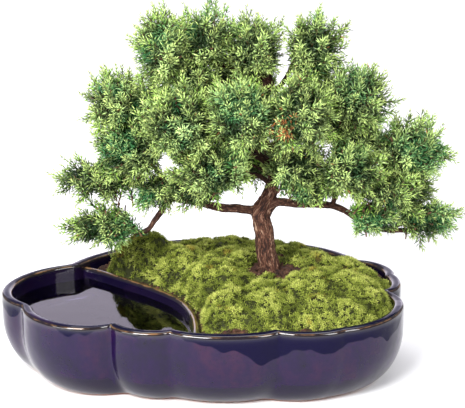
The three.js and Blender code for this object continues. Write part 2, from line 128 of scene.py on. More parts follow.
class Shader:
    """One material under construction, around a single Principled surface."""

    def __init__(self, name: str) -> None:
        """Starts an empty material with a Principled surface.

        Args:
            name: The finish's plain name.
        """
        self.material = bpy.data.materials.new(name)
        self.material.use_nodes = True
        self.tree = self.material.node_tree
        self.tree.nodes.clear()
        self.surface = self.node("ShaderNodeBsdfPrincipled")
        self.node("ShaderNodeOutputMaterial", None, {"Surface": self.surface.outputs[0]})

    def node(self, kind: str, settings: dict[str, object] | None = None,
             inputs: dict[int | str, object] | None = None) -> bpy.types.Node:
        """Adds any node.

        Args:
            kind: The node's Blender type.
            settings: The node's own settings; stops are a colour ramp's positions and colours.
            inputs: A value or a link for each named or numbered input socket.

        Returns:
            The new node.
        """
        made = self.tree.nodes.new(kind)
        for key, value in (settings or {}).items():
            if key == "stops":
                self._set_stops(made, value)
            else:
                setattr(made, key, value)
        for key, value in (inputs or {}).items():
            if isinstance(value, Wire):
                self.tree.links.new(value.socket, made.inputs[key])
            elif isinstance(value, bpy.types.NodeSocket):
                self.tree.links.new(value, made.inputs[key])
            else:
                made.inputs[key].default_value = value
        return made

    @staticmethod
    def _set_stops(ramp: bpy.types.Node, stops: Sequence[tuple[float, Colour]]) -> None:
        """Gives a colour ramp its stops."""
        elements = ramp.color_ramp.elements
        while len(elements) < len(stops):
            elements.new(0.5)
        for element, (position, colour) in zip(elements, stops):
            element.position = position
            element.color = (*colour, 1.0)

    def coordinates(self, stretch: tuple[float, float, float] = (1, 1, 1)) -> bpy.types.NodeSocket:
        """The piece's own coordinates, scaled by a stretch."""
        source = self.node("ShaderNodeTexCoord").outputs["Object"]
        return self.node("ShaderNodeMapping", None, {"Vector": source, "Scale": stretch}).outputs[0]

    def height(self) -> Wire:
        """The height over the table, in metres."""
        source = self.node("ShaderNodeTexCoord").outputs["Object"]
        return Wire(self, self.node("ShaderNodeSeparateXYZ", None, {0: source}).outputs[2])

    def attribute(self, name: str) -> Wire:
        """A number stored on the mesh."""
        return Wire(self, self.node("ShaderNodeAttribute", {"attribute_name": name}).outputs["Fac"])

    def noise(self, size: float, detail: float = 3.0, rough: float = 0.5, bend: float = 0.0,
              at: bpy.types.NodeSocket | None = None) -> Wire:
        """Soft random patches.

        Args:
            size: The patches' size, in metres.
            detail: How many finer layers are added.
            rough: How strong those layers are.
            bend: How far the pattern is distorted.
            at: The coordinates to read, the piece's own if left out.

        Returns:
            A number around one half.
        """
        inputs = {"Vector": at or self.coordinates(), "Scale": 1.0 / size, "Detail": detail,
                  "Roughness": rough, "Distortion": bend}
        return Wire(self, self.node("ShaderNodeTexNoise", None, inputs).outputs[0])

    def cells(self, size: float, at: bpy.types.NodeSocket | None = None) -> Wire:
        """The distance to the nearest of many scattered points, in cells of a size in metres."""
        inputs = {"Vector": at or self.coordinates(), "Scale": 1.0 / size}
        return Wire(self, self.node("ShaderNodeTexVoronoi", None, inputs).outputs["Distance"])

    def mix(self, share: "Wire | float", first: object, second: object) -> bpy.types.NodeSocket:
        """Mixes two colours.

        Args:
            share: How much of the second there is.
            first: A colour or a link.
            second: A colour or a link.

        Returns:
            The mixed colour.
        """
        inputs = {0: share, 6: opaque(first), 7: opaque(second)}
        return self.node("ShaderNodeMix", {"data_type": "RGBA"}, inputs).outputs[2]

    def ramp(self, value: Wire, *stops: tuple[float, Colour]) -> bpy.types.NodeSocket:
        """A colour for each value, through stops of position and colour."""
        return self.node("ShaderNodeValToRGB", {"stops": stops}, {0: value}).outputs[0]

    def relief(self, height: Wire, depth: float) -> bpy.types.NodeSocket:
        """A bump of a depth in metres."""
        inputs = {"Height": height, "Distance": depth, "Strength": 1.0}
        return self.node("ShaderNodeBump", None, inputs).outputs[0]

    def finish(self, colour: object, roughness: "Wire | float", normal: object = None,
               **plain: object) -> bpy.types.Material:
        """Feeds the surface and gives the material back.

        Args:
            colour: A colour or a link.
            roughness: A number or a link.
            normal: A bump's link, if there is one.
            plain: Values for other sockets, with underscores for spaces.

        Returns:
            The finished material.
        """
        inputs = {"Base Color": opaque(colour), "Roughness": roughness}
        if normal is not None:
            inputs["Normal"] = normal
        inputs.update({key.replace("_", " "): value for key, value in plain.items()})
        for key, value in inputs.items():
            socket = self.surface.inputs[key]
            if isinstance(value, (Wire, bpy.types.NodeSocket)):
                self.tree.links.new(value.socket if isinstance(value, Wire) else value, socket)
            else:
                socket.default_value = value
        return self.material


# ---------------------------------------------------------------- finishes
@dataclass(frozen=True)
class Glaze:
    """Glossy cobalt glaze over stoneware, brown where it breaks thin on the edges."""

    deep: Colour = (0.005, 0.003, 0.014)
    blue: Colour = (0.008, 0.002, 0.027)
    plum: Colour = (0.021, 0.004, 0.026)
    bronze: Colour = (0.16, 0.085, 0.035)
    black: Colour = (0.010, 0.007, 0.008)
    clay: Colour = (0.30, 0.11, 0.06)
    foot_line: float = 1.6 * MM
    painted_dark_from: float = 52.5 * MM  # above this height the glaze is painted darker: a painted dark reflection under the rim

    def material(self) -> bpy.types.Material:
        """The finished glaze."""
        s = Shader("cobalt_glaze")
        flow = s.noise(30 * MM, 4.0, 0.6, 0.8, s.coordinates((1, 1, 0.45)))
        mottle = s.noise(4.5 * MM, 4.0, 0.65)
        speck = s.noise(1.3 * MM, 2.0)
        mixed = flow * 0.7 + mottle * 0.3
        body = s.ramp(mixed, (0.34, self.deep), (0.50, self.blue), (0.66, self.plum))
        body = s.mix(speck.step(0.58, 0.72) * 0.6, body, self.deep)
        # painted reflection: under the rim the glaze is painted near black, with a wavy lower edge, and its
        # coat is thinned there, standing in for the dark room that the wall reflects
        dark_band_wave = s.noise(40 * MM, 2.0, 0.5, 0.0, s.coordinates((1, 1, 0.2)))
        low_edge = s.height() + (dark_band_wave - 0.5) * 0.062
        pool = low_edge.step(self.painted_dark_from - 0.5 * MM, self.painted_dark_from + 0.5 * MM)
        body = s.mix(pool, body, (0.003, 0.002, 0.018))
        # painted shade: the inner wall and floor are painted deeper blue
        body = s.mix(s.attribute("inside") * 0.8, body, self.deep)
        patchy = s.noise(9 * MM, 4.0, 0.6)
        edge = s.attribute("edge")
        band = (edge * (0.6 + patchy * 0.8)).step(0.25, 0.5)
        body = s.mix(band * 0.9, body, self.black)
        thin = (edge * (0.55 + patchy * 0.9)).step(0.72, 0.95)
        body = s.mix(thin * 0.9, body, self.bronze)
        chips = (edge * s.noise(5 * MM, 3.0, 0.65)).step(0.62, 0.68)
        body = s.mix(chips * 0.8, body, self.clay)
        bare = (s.height() + (patchy - 0.5) * 0.0012).step(self.foot_line * 1.3, self.foot_line * 0.6)
        body = s.mix(bare, body, self.clay)
        wave = s.noise(24 * MM, 2.0, 0.45)
        peel = s.noise(3.2 * MM, 2.0)
        rough = 0.09 + peel * 0.05 + bare * 0.6 + mottle.step(0.5, 0.8) * 0.10
        bump = s.relief(wave * 1.0 + peel * 0.05, 1.2 * MM)
        coat = (0.43 - pool * 0.40 + edge * 1.7).clamped() * (1.0 - bare)
        return s.finish(body, rough, bump, Coat_Weight=coat, Coat_Roughness=0.03, Coat_IOR=1.5, IOR=1.5,
                        Specular_IOR_Level=0.07)


@dataclass(frozen=True)
class StillWater:
    """Clear, dark, almost still water."""

    tint: Colour = (0.42, 0.42, 0.58)

    def material(self) -> bpy.types.Material:
        """The finished water."""
        s = Shader("still_water")
        ripple = s.noise(34 * MM, 1.0)
        return s.finish(self.tint, 0.01, s.relief(ripple, 0.25 * MM), IOR=1.36, Transmission_Weight=1.0,
                        Specular_Tint=(0.9, 0.7, 1.0, 1.0))


@dataclass(frozen=True)
class Earth:
    """Damp, dark, crumbly potting soil."""

    dark: Colour = (0.008, 0.004, 0.003)
    brown: Colour = (0.035, 0.014, 0.008)
    pale: Colour = (0.12, 0.055, 0.030)

    def material(self, name: str = "damp_soil") -> bpy.types.Material:
        """The finished soil.

        Args:
            name: The material's name.

        Returns:
            The material.
        """
        s = Shader(name)
        crumb = s.cells(2.4 * MM)
        patch = s.noise(11 * MM, 4.0, 0.6)
        grain = s.noise(0.9 * MM, 2.0)
        mixed = patch * 0.6 + grain * 0.4
        colour = s.ramp(mixed, (0.36, self.dark), (0.52, self.brown), (0.72, self.pale))
        rough = 0.72 + grain * 0.25
        return s.finish(colour, rough, s.relief(crumb * 0.6 + grain * 0.6, 1.1 * MM), Specular_IOR_Level=0.35)


@dataclass(frozen=True)
class Bark:
    """Red-brown fibrous bark that peels in strips along the wood."""

    deep: Colour = (0.010, 0.004, 0.003)
    red: Colour = (0.052, 0.017, 0.009)
    worn: Colour = (0.120, 0.050, 0.028)
    grey: Colour = (0.38, 0.245, 0.17)

    def material(self) -> bpy.types.Material:
        """The finished bark."""
        s = Shader("fibrous_bark")
        strips = s.node("ShaderNodeAttribute", {"attribute_name": "grain"}).outputs["Vector"]
        fibre = s.noise(0.9 * MM, 4.0, 0.65, 0.6, strips)
        flake = s.noise(2.6 * MM, 3.0, 0.6, 1.2, strips)
        mixed = fibre * 0.5 + flake * 0.5
        colour = s.ramp(mixed, (0.41, self.deep), (0.48, self.red), (0.55, self.worn), (0.64, self.grey))
        thin = s.attribute("slender")
        colour = s.mix(thin * 0.55, colour, self.deep)
        return s.finish(colour, 0.68 + fibre * 0.25, s.relief(mixed, 1.6 * MM), Specular_IOR_Level=0.3)


@dataclass(frozen=True)
class Needles:
    """Juniper needles: green, pale banded above, yellow-green at the shoot tips, with painted shade at each
    needle's foot and deep in the cloud.
    """

    shade: Colour = (0.006, 0.034, 0.003)
    green: Colour = (0.330, 0.640, 0.070)
    cool: Colour = (0.060, 0.340, 0.110)
    # the pale band: partly the needle's real pale band, partly painted highlight
    band: Colour = (0.800, 0.940, 0.470)
    tip: Colour = (0.780, 0.920, 0.260)
    dead: Colour = (0.400, 0.140, 0.040)

    def material(self) -> bpy.types.Material:
        """The finished needles."""
        s = Shader("juniper_needles")
        young = s.attribute("young")
        tone = s.attribute("tone")
        band = s.attribute("band")
        along = s.attribute("along")
        patch = s.noise(32 * MM, 2.0, 0.5)
        # low tone gives the shade colour: random darker shoots, and painted shade deep inside the clouds
        leaf = s.mix(tone.step(0.0, 0.8), self.shade, self.green)
        leaf = s.mix(patch.step(0.52, 0.66) * 0.6, leaf, self.cool)
        # painted shade: each needle darkens towards its foot
        leaf = s.mix((along - 0.25).clamped().step(0.5, 0.0) * 0.75, leaf, self.shade)
        # the pale band on each needle's flat face: a real band, lightened further as painted highlight
        leaf = s.mix(band * along * (tone * 0.95 + 0.03), leaf, self.band)
        leaf = s.mix((young * along * 0.75).clamped(), leaf, self.tip)
        leaf = s.mix(s.attribute("dead"), leaf, self.dead)
        mottle = s.noise(2.2 * MM, 2.0)
        leaf = s.mix(mottle.step(0.35, 0.75) * 0.2, leaf, self.shade)
        return s.finish(leaf, 0.34 + mottle * 0.14, None, Specular_IOR_Level=0.4)


@dataclass(frozen=True)
class Twig:
    """Thin shoots: brown inside the cloud, green towards their tips."""

    brown: Colour = (0.11, 0.05, 0.022)
    green: Colour = (0.14, 0.20, 0.06)

    def material(self) -> bpy.types.Material:
        """The finished twigs."""
        s = Shader("young_twig")
        colour = s.mix(s.attribute("young").step(0.1, 0.8), self.brown, self.green)
        return s.finish(colour, 0.7, s.relief(s.noise(0.8 * MM, 3.0), 0.3 * MM))


@dataclass(frozen=True)
class CushionMoss:
    """Moss: bright yellow-green shoots over a dark brown-green heart, with painted shade at the shoots' feet
    and on the heart.
    """

    heart: Colour = (0.022, 0.026, 0.005)
    green: Colour = (0.23, 0.29, 0.030)
    bright: Colour = (0.86, 0.88, 0.24)
    gold: Colour = (0.50, 0.27, 0.035)

    def material(self) -> bpy.types.Material:
        """The finished moss."""
        s = Shader("cushion_moss")
        lit = s.attribute("young")
        tone = s.attribute("tone")
        patch = s.noise(13 * MM, 3.0, 0.6)
        along = s.attribute("along")
        # painted shade: the colour darkens towards each shoot's foot and in the dips between lumps
        mixed = ((lit * 0.36 + tone * 0.42 + patch * 0.30) * (along + 0.12)).clamped()
        colour = s.ramp(mixed, (0.10, self.heart), (0.38, self.green), (0.84, self.bright))
        colour = s.mix(s.noise(24 * MM, 3.0, 0.6).step(0.62, 0.70) * along * 0.55, colour, self.gold)
        return s.finish(colour, 0.75, s.relief(s.noise(1.1 * MM, 3.0), 0.5 * MM), Specular_IOR_Level=0.25)


@dataclass(frozen=True)
class MouldedNet:
    """Black moulded netting."""

    colour: Colour = (0.012, 0.013, 0.015)

    def material(self) -> bpy.types.Material:
        """The finished netting."""
        s = Shader("moulded_netting")
        grain = s.noise(0.7 * MM, 3.0)
        colour = s.mix(grain * 0.4, self.colour, (0.03, 0.03, 0.032))
        return s.finish(colour, 0.45 + grain * 0.2, s.relief(grain, 0.1 * MM))


@dataclass(frozen=True)
class PaleTable:
    """A plain pale studio table."""

    colour: Colour = (0.90, 0.90, 0.905)

    def material(self) -> bpy.types.Material:
        """The finished table."""
        s = Shader("pale_table")
        drift = s.noise(0.7, 2.0)
        shade = s.mix(drift * 0.1, self.colour, (0.87, 0.87, 0.88))
        return s.finish(shade, 0.85, None, Specular_IOR_Level=0.1)


# ---------------------------------------------------------------- mesh helpers
def seated(name: str, shape: bmesh.types.BMesh, material: bpy.types.Material) -> bpy.types.Object:
    """Turns a finished bmesh into an object at the origin.

    Args:
        name: The piece's name.
        shape: Its shape, which is freed.
        material: Its finish.

    Returns:
        The new object.
    """
    mesh = bpy.data.meshes.new(name)
    for face in shape.faces:
        face.smooth = True
    shape.to_mesh(mesh)
    shape.free()
    piece = bpy.data.objects.new(name, mesh)
    bpy.context.collection.objects.link(piece)
    mesh.materials.append(material)
    return piece


def enlist(piece: bpy.types.Object, slot: str, *nodes: str) -> None:
    """Rides a piece on the body and hides the CAD nodes that it stands for.

    Args:
        piece: The finished piece.
        slot: The material slot; not used.
        nodes: The CAD nodes that it replaces.
    """
    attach(piece, BODY)
    if nodes:
        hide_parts(*nodes)
    LOG.info("%s: %d faces", piece.name, len(piece.data.polygons))


def wrap(shape: bmesh.types.BMesh, rings: Sequence[Sequence[Vector]]) -> None:
    """Adds a closed skin: the first ring is extruded from each ring to the next and both ends are filled.

    Args:
        shape: Where it is added.
        rings: Rings with equal numbers of points.
    """
    verts = [shape.verts.new(p) for p in rings[0]]
    edges = [shape.edges.new((a, b)) for a, b in zip(verts, verts[1:] + verts[:1])]
    start = edges
    for ring in rings[1:]:
        grown = bmesh.ops.extrude_edge_only(shape, edges=edges)["geom"]
        verts = [g for g in grown if isinstance(g, bmesh.types.BMVert)]
        edges = [g for g in grown if isinstance(g, bmesh.types.BMEdge)]
        for vert, point in zip(verts, ring):
            vert.co = point
    for ends in (start, edges):
        bmesh.ops.contextual_create(shape, geom=ends)


def loft(rings: Sequence[Sequence[Vector]]) -> bmesh.types.BMesh:
    """A closed solid through rings, facing outward.

    Args:
        rings: Rings with equal numbers of points.

    Returns:
        The solid.
    """
    shape = bmesh.new()
    wrap(shape, rings)
    bmesh.ops.recalc_face_normals(shape, faces=shape.faces)
    return shape


class Joinery(Enum):
    """What a solid does to a piece: joins it, cuts it away, or keeps only what both share."""

    JOIN = "UNION"
    CUT = "DIFFERENCE"
    KEEP = "INTERSECT"


def combine(piece: bpy.types.Object, tool: bmesh.types.BMesh, joinery: Joinery) -> None:
    """Joins, cuts or intersects a piece with a solid, for good.

    Args:
        piece: The object to change.
        tool: The solid, which is freed.
        joinery: What the solid does to it.
    """
    helper_mesh = bpy.data.meshes.new("helper")
    tool.to_mesh(helper_mesh)
    tool.free()
    helper = bpy.data.objects.new("helper", helper_mesh)
    bpy.context.collection.objects.link(helper)
    cut = piece.modifiers.new("cut", "BOOLEAN")
    cut.operation = joinery.value
    cut.solver = "EXACT"
    cut.object = helper
    bake_modifiers(piece)
    bpy.data.objects.remove(helper)
    bpy.data.meshes.remove(helper_mesh)


def bake_modifiers(piece: bpy.types.Object) -> None:
    """Replaces a piece's mesh with what its modifiers make of it."""
    made = bpy.data.meshes.new_from_object(piece.evaluated_get(bpy.context.evaluated_depsgraph_get()))
    old = piece.data
    made.name = piece.name
    piece.modifiers.clear()
    piece.data = made
    bpy.data.meshes.remove(old)


def crease(mesh: bpy.types.Mesh, degrees: float) -> None:
    """Shades a mesh smooth but for edges sharper than an angle."""
    mesh.polygons.foreach_set("use_smooth", np.ones(len(mesh.polygons), bool))
    mesh.set_sharp_from_angle(angle=math.radians(degrees))


def positions(mesh: bpy.types.Mesh) -> np.ndarray:
    """A mesh's vertices as an array."""
    flat = np.empty(len(mesh.vertices) * 3, np.float32)
    mesh.vertices.foreach_get("co", flat)
    return flat.reshape(-1, 3)


def store(mesh: bpy.types.Mesh, name: str, values: np.ndarray, domain: str = "POINT") -> None:
    """Writes one number for each vertex or face of a mesh."""
    mesh.attributes.new(name, "FLOAT", domain).data.foreach_set("value", values.astype(np.float32))


def fractal(points: np.ndarray, size: float, octaves: int = 3) -> np.ndarray:
    """Smooth noise between about -1 and 1 at many points, for patches of a size."""
    return np.array([noise.fractal(Vector(p) / size, 0.8, 2.0, octaves) for p in points])


@dataclass
class Swarm:
    """Many copies of one small template shape, gathered into a single mesh."""

    template: bmesh.types.BMesh
    frames: list[np.ndarray] = field(default_factory=list)
    marks: list[np.ndarray] = field(default_factory=list)

    def add(self, frames: np.ndarray, marks: np.ndarray) -> None:
        """Adds copies.

        Args:
            frames: For each copy a 3 by 4 matrix: its axes as columns, and its place.
            marks: For each copy a row of numbers that are stored on all its faces.
        """
        self.frames.append(frames)
        self.marks.append(marks)

    def piece(self, name: str, material: bpy.types.Material, mark_names: Sequence[str],
              on_points: dict[str, np.ndarray] | None = None,
              on_faces: dict[str, np.ndarray] | None = None) -> bpy.types.Object:
        """Builds one object of all copies.

        Args:
            name: The piece's name.
            material: Its finish.
            mark_names: What the copies' marks are called.
            on_points: Numbers for each vertex of the template, the same on every copy.
            on_faces: Numbers for each face of the template, the same on every copy.

        Returns:
            The object.
        """
        self.template.verts.index_update()
        points = np.array([v.co[:] for v in self.template.verts])
        corners = [[v.index for v in f.verts] for f in self.template.faces]
        copies = np.concatenate(self.frames)
        placed = np.einsum("nij,vj->nvi", copies[:, :, :3], points) + copies[:, None, :, 3]
        shift = np.arange(len(copies)) * len(points)
        sizes = np.tile([len(c) for c in corners], len(copies))
        loops = (shift[:, None] + np.concatenate(corners)[None, :]).ravel()
        mesh = bpy.data.meshes.new(name)
        mesh.vertices.add(placed.shape[0] * placed.shape[1])
        mesh.vertices.foreach_set("co", placed.astype(np.float32).ravel())
        mesh.loops.add(len(loops))
        mesh.loops.foreach_set("vertex_index", loops.astype(np.int32))
        mesh.polygons.add(len(sizes))
        mesh.polygons.foreach_set("loop_start", (np.cumsum(sizes) - sizes).astype(np.int32))
        mesh.update(calc_edges=True)
        marks = np.concatenate(self.marks)
        for column, mark in enumerate(mark_names):
            store(mesh, mark, np.repeat(marks[:, column], len(corners)), "FACE")
        for key, values in (on_points or {}).items():
            store(mesh, key, np.tile(values, len(copies)))
        for key, values in (on_faces or {}).items():
            store(mesh, key, np.tile(values, len(copies)), "FACE")
        mesh.materials.append(material)
        piece = bpy.data.objects.new(name, mesh)
        bpy.context.collection.objects.link(piece)
        return piece


def spike(shape: bmesh.types.BMesh, wide: float, narrow: float, length: float,
          middle: float) -> list[bmesh.types.BMVert]:
    """Adds a three-sided spike that stands up.

    Args:
        shape: Where it is added.
        wide: Its radius below.
        narrow: Its radius on top.
        length: Its length.
        middle: The height of its middle.

    Returns:
        Its vertices.
    """
    radii = {"radius1": wide, "radius2": narrow}
    made = bmesh.ops.create_cone(shape, cap_ends=True, segments=3, depth=length, **radii)["verts"]
    bmesh.ops.translate(shape, vec=(0, 0, middle), verts=made)
    return made


def unit(vectors: np.ndarray) -> np.ndarray:
    """The same directions with length one."""
    return vectors / np.linalg.norm(vectors, axis=-1, keepdims=True)


def placings(ways: np.ndarray, fronts: np.ndarray, scales: np.ndarray, places: np.ndarray) -> np.ndarray:
    """Matrices that put a template along many directions.

    Args:
        ways: The direction of each copy's third axis.
        fronts: A direction that each copy's second axis leans to.
        scales: Three axis lengths for each copy.
        places: Where each copy's origin goes.

    Returns:
        A 3 by 4 matrix for each copy.
    """
    z = unit(ways)
    y = unit(fronts - z * np.sum(fronts * z, axis=1, keepdims=True))
    x = np.cross(y, z)
    basis = np.stack([x, y, z], axis=2) * scales[:, None, :]
    return np.concatenate([basis, places[:, :, None]], axis=2)


def spline(points: Sequence[Sequence[float]], steps: int) -> np.ndarray:
    """Evenly counted points along a smooth curve through given ones (Catmull-Rom)."""
    p = np.array(points, float)
    p = np.vstack([2 * p[0] - p[1], p, 2 * p[-1] - p[-2]])
    at = np.linspace(0, len(p) - 3, steps)
    cell = np.minimum(at.astype(int), len(p) - 4)
    t = (at - cell)[:, None]
    a, b, c, d = p[cell], p[cell + 1], p[cell + 2], p[cell + 3]
    return 0.5 * (2 * b + (c - a) * t + (2 * a - 5 * b + 4 * c - d) * t**2 + (3 * b - a - 3 * c + d) * t**3)


def tube(shape: bmesh.types.BMesh, path: np.ndarray, radii: np.ndarray, sides: int) -> None:
    """Adds a closed tapered tube along a path.

    Args:
        shape: Where it is added.
        path: Points along its middle.
        radii: Its radius at each of them.
        sides: How many sides it has.
    """
    tangents = np.gradient(path, axis=0)
    turn = np.linspace(0, 2 * math.pi, sides, endpoint=False)
    reference = np.array((0.31, 0.87, 0.39))
    rings = []
    for point, tangent, radius in zip(path, tangents, radii):
        z = tangent / np.linalg.norm(tangent)
        x = reference - z * np.dot(reference, z)
        x /= np.linalg.norm(x)
        reference = x
        y = np.cross(z, x)
        rings.append([Vector(point + radius * (x * math.cos(t) + y * math.sin(t))) for t in turn])
    wrap(shape, rings)


# ---------------------------------------------------------------- the tray
@dataclass(frozen=True)
class Lobe:
    """One lobe of the tray's outline, from its notch to the next one."""

    notch: tuple[float, float]  # shares of the half length and half depth
    bulge: float  # how far it stands out from the straight line, in millimetres
    lean: float = 0.0


LOBES = (
    Lobe((-0.695, 0.4), 30, 0.08),
    Lobe((-0.872, -0.427), 20, 0.05),
    Lobe((-0.425, -0.79), 8),
    Lobe((-0.144, -0.905), 10),
    Lobe((0.367, -0.909), 6),
    Lobe((0.675, -0.873), 23, 0.08),
    Lobe((0.925, -0.145), 7.5, -0.1),
    Lobe((0.975, 0.2), 9),
    Lobe((0.8, 0.49), 9),
    Lobe((0.446, 0.873), 6),
    Lobe((0.118, 0.93), 10),
    Lobe((-0.341, 0.82), 7, -0.05),
)
DIVIDER_LINE = ((-0.68, 0.5), (-0.551, 0.4), (-0.393, 0.209), (-0.236, 0.009), (-0.118, -0.191),
                (-0.052, -0.418), (-0.026, -0.655), (-0.026, -0.95))
DRAIN_HOLES = ((0.2, 0.32), (0.5, -0.2))


class Half(Enum):
    """The tray's two sides of the divider, by the way that each lies along X."""

    POOL = -1
    SOIL = 1


@dataclass
class Outline:
    """The tray's plan: the lobed line of its rim, and that line drawn in or softened."""

    half_length: float = 152.5 * MM
    half_depth: float = 110 * MM
    steps: int = 32
    points: np.ndarray = field(init=False)

    def __post_init__(self) -> None:
        """Works the line out once."""
        corners = [np.array((x * self.half_length, y * self.half_depth)) for x, y in (l.notch for l in LOBES)]
        run = []
        t = np.linspace(0, 1, self.steps, endpoint=False)[:, None]
        for i, lobe in enumerate(LOBES):
            a, d = corners[i], corners[(i + 1) % len(corners)]
            chord = d - a
            out = np.array((chord[1], -chord[0])) / np.linalg.norm(chord) * lobe.bulge * MM * 4 / 3
            b = a + chord * (0.2 + lobe.lean) + out
            c = d - chord * (0.2 - lobe.lean) + out
            run.append(a * (1 - t) ** 3 + 3 * b * t * (1 - t) ** 2 + 3 * c * t**2 * (1 - t) + d * t**3)
        self.points = np.concatenate(run)

    def softened(self, passes: int) -> np.ndarray:
        """The line with its notches rounded by repeated averaging with its neighbours."""
        p = self.points
        for _ in range(passes):
            p = p * 0.5 + (np.roll(p, 1, axis=0) + np.roll(p, -1, axis=0)) * 0.25
        return p

    def ring(self, inset: float, z: float, passes: int = 0) -> list[Vector]:
        """The line drawn in towards the middle, at a height.

        Args:
            inset: How far it is drawn in.
            z: Its height.
            passes: How far its notches are softened.

        Returns:
            Its points.
        """
        p = self.softened(passes)
        p = p * (1 - inset / np.linalg.norm(p, axis=1))[:, None]
        return [Vector((x, y, z)) for x, y in p]

    def inset_of(self, xy: np.ndarray) -> np.ndarray:
        """How far inside the line each point lies, measured towards the middle."""
        angle = np.arctan2(self.points[:, 1], self.points[:, 0])
        order = np.argsort(angle)
        reach = np.linalg.norm(self.points, axis=1)[order]
        own = np.interp(np.arctan2(xy[:, 1], xy[:, 0]), angle[order], reach, period=2 * math.pi)
        return own - np.linalg.norm(xy, axis=1)


@dataclass
class Tray:
    """The glazed tray: lobed wall, rolled rim, foot ring, drain holes and the pool's divider."""

    outline: Outline
    height: float = 60 * MM
    wall: float = 8 * MM
    floor_top: float = 10 * MM
    foot_height: float = 3 * MM
    foot_width: float = 13 * MM
    rib_width: float = 16 * MM
    tuck: float = 22 * MM
    tuck_height: float = 40 * MM
    inner_tuck: float = 16 * MM
    rim_round: float = 3.4 * MM
    divider_thickness: float = 6.5 * MM
    divider_top: float = 55 * MM
    drain_radius: float = 6 * MM

    def outer_inset(self, z: float) -> float:
        """How far the outside of the wall is drawn in at a height."""
        down = max(0.0, (self.tuck_height - z) / self.tuck_height)
        return self.tuck * (1 - math.sqrt(1 - (0.97 * down) ** 2)) * 1.3

    def inner_inset(self, z: float) -> float:
        """How far the inside of the wall is drawn in at a height."""
        down = min(1.0, max(0.0, (self.tuck_height - z) / (self.tuck_height - self.floor_top)))
        return self.wall + self.inner_tuck * (1 - math.sqrt(1 - down**2))

    def softness(self, z: float) -> int:
        """How far the notches are rounded off at a height: little at the rim, more towards the foot."""
        return int(2 + 24 * (1 - z / self.height) ** 3)

    def body(self) -> bmesh.types.BMesh:
        """The tray without its divider, as a closed solid."""
        rings = [self.outline.ring(self.outer_inset(0) + 1.6 * MM, 0, 36)]
        shoulder = self.height - self.rim_round
        for z in np.concatenate([[0.7 * MM], np.linspace(2 * MM, shoulder, 26)]):
            rings.append(self.outline.ring(self.outer_inset(z), z, self.softness(z)))
        for turn in np.linspace(0, math.pi, 15)[1:-1]:
            inset = self.wall / 2 * (1 - math.cos(turn))
            z = shoulder + self.rim_round * math.sin(turn) ** 0.75
            rings.append(self.outline.ring(inset, z, 2 + int(turn)))
        for z in np.linspace(shoulder, self.floor_top, 20):
            rings.append(self.outline.ring(self.inner_inset(z), z, 6))
        return loft(rings)

    def divider_path(self, steps: int = 60) -> np.ndarray:
        """The divider's centre line in plan, kept inside the wall."""
        line = np.array(DIVIDER_LINE) * (self.outline.half_length, self.outline.half_depth)
        path = spline(line, steps)
        return path[self.outline.inset_of(path) > self.wall * 0.4]

    def divider(self) -> bmesh.types.BMesh:
        """The divider's wall, round on top and a little wider at its foot."""
        path = self.divider_path()
        along = np.gradient(path, axis=0)
        along /= np.linalg.norm(along, axis=1)[:, None]
        half = self.divider_thickness / 2
        low = self.floor_top - 1 * MM
        section = [(-half * 1.25, low), (-half * 1.1, low + 8 * MM), (-half, self.divider_top - half)]
        for turn in np.linspace(0, math.pi, 9)[1:-1]:
            section.append((-half * math.cos(turn), self.divider_top - half + half * math.sin(turn)))
        section += [(-s, z) for s, z in reversed(section[:3])]
        rings = []
        for point, way in zip(path, along):
            rings.append([Vector((point[0] - way[1] * s, point[1] + way[0] * s, z)) for s, z in section])
        return loft(rings)

    def side(self, offset: float, half: Half) -> bmesh.types.BMesh:
        """A tall block that fills everything on one side of the divider.

        Args:
            offset: How far its face stands from the divider's centre line, to the pool's side if negative.
            half: The side to fill.

        Returns:
            The block.
        """
        path = spline(np.array(DIVIDER_LINE) * (self.outline.half_length, self.outline.half_depth), 60)
        along = np.gradient(path, axis=0)
        along /= np.linalg.norm(along, axis=1)[:, None]
        line = path + np.column_stack([-along[:, 1], along[:, 0]]) * offset
        line = np.vstack([line[0] - along[0] * 0.3, line, line[-1] + along[-1] * 0.3])
        far = half.value * 0.6
        outer = [(far, line[-1][1]), (far, line[0][1])]
        plan = [*map(tuple, line), *outer]
        return loft([[Vector((x, y, z)) for x, y in plan] for z in (-0.05, 0.3)])

    def build(self) -> bpy.types.Object:
        """Makes the whole tray and marks its edges, where the glaze runs thin."""
        piece = seated("glazed_tray", self.body(), Glaze().material())
        divider = seated("divider", self.divider(), piece.data.materials[0])
        levels = np.linspace(0, self.height, 16)
        core = [self.outline.ring(self.outer_inset(z) + self.wall / 2, z, 6) for z in levels]
        combine(divider, loft(core), Joinery.KEEP)
        joined = bmesh.new()
        joined.from_mesh(divider.data)
        bpy.data.objects.remove(divider)
        combine(piece, joined, Joinery.JOIN)
        foot_inset = self.outer_inset(0) + self.foot_width
        recess = [self.outline.ring(foot_inset, z, 36) for z in (-0.01, self.foot_height)]
        hollow = seated("hollow", loft(recess), piece.data.materials[0])
        rib = bmesh.new()
        bmesh.ops.create_cube(rib, size=1.0)
        bmesh.ops.scale(rib, vec=(self.rib_width, self.outline.half_depth * 2, 0.1), verts=rib.verts)
        combine(hollow, rib, Joinery.CUT)
        cutter = bmesh.new()
        cutter.from_mesh(hollow.data)
        bpy.data.objects.remove(hollow)
        combine(piece, cutter, Joinery.CUT)
        for x, y in DRAIN_HOLES:
            hole = bmesh.new()
            radii = {"radius1": self.drain_radius, "radius2": self.drain_radius}
            bmesh.ops.create_cone(hole, cap_ends=True, segments=40, depth=0.06, **radii)
            at = Vector((x * self.outline.half_length, y * self.outline.half_depth, 0))
            bmesh.ops.translate(hole, vec=at, verts=hole.verts)
            combine(piece, hole, Joinery.CUT)
        self.mark_edges(piece.data)
        crease(piece.data, 40)
        enlist(piece, "blue_glaze", "tray")
        return piece

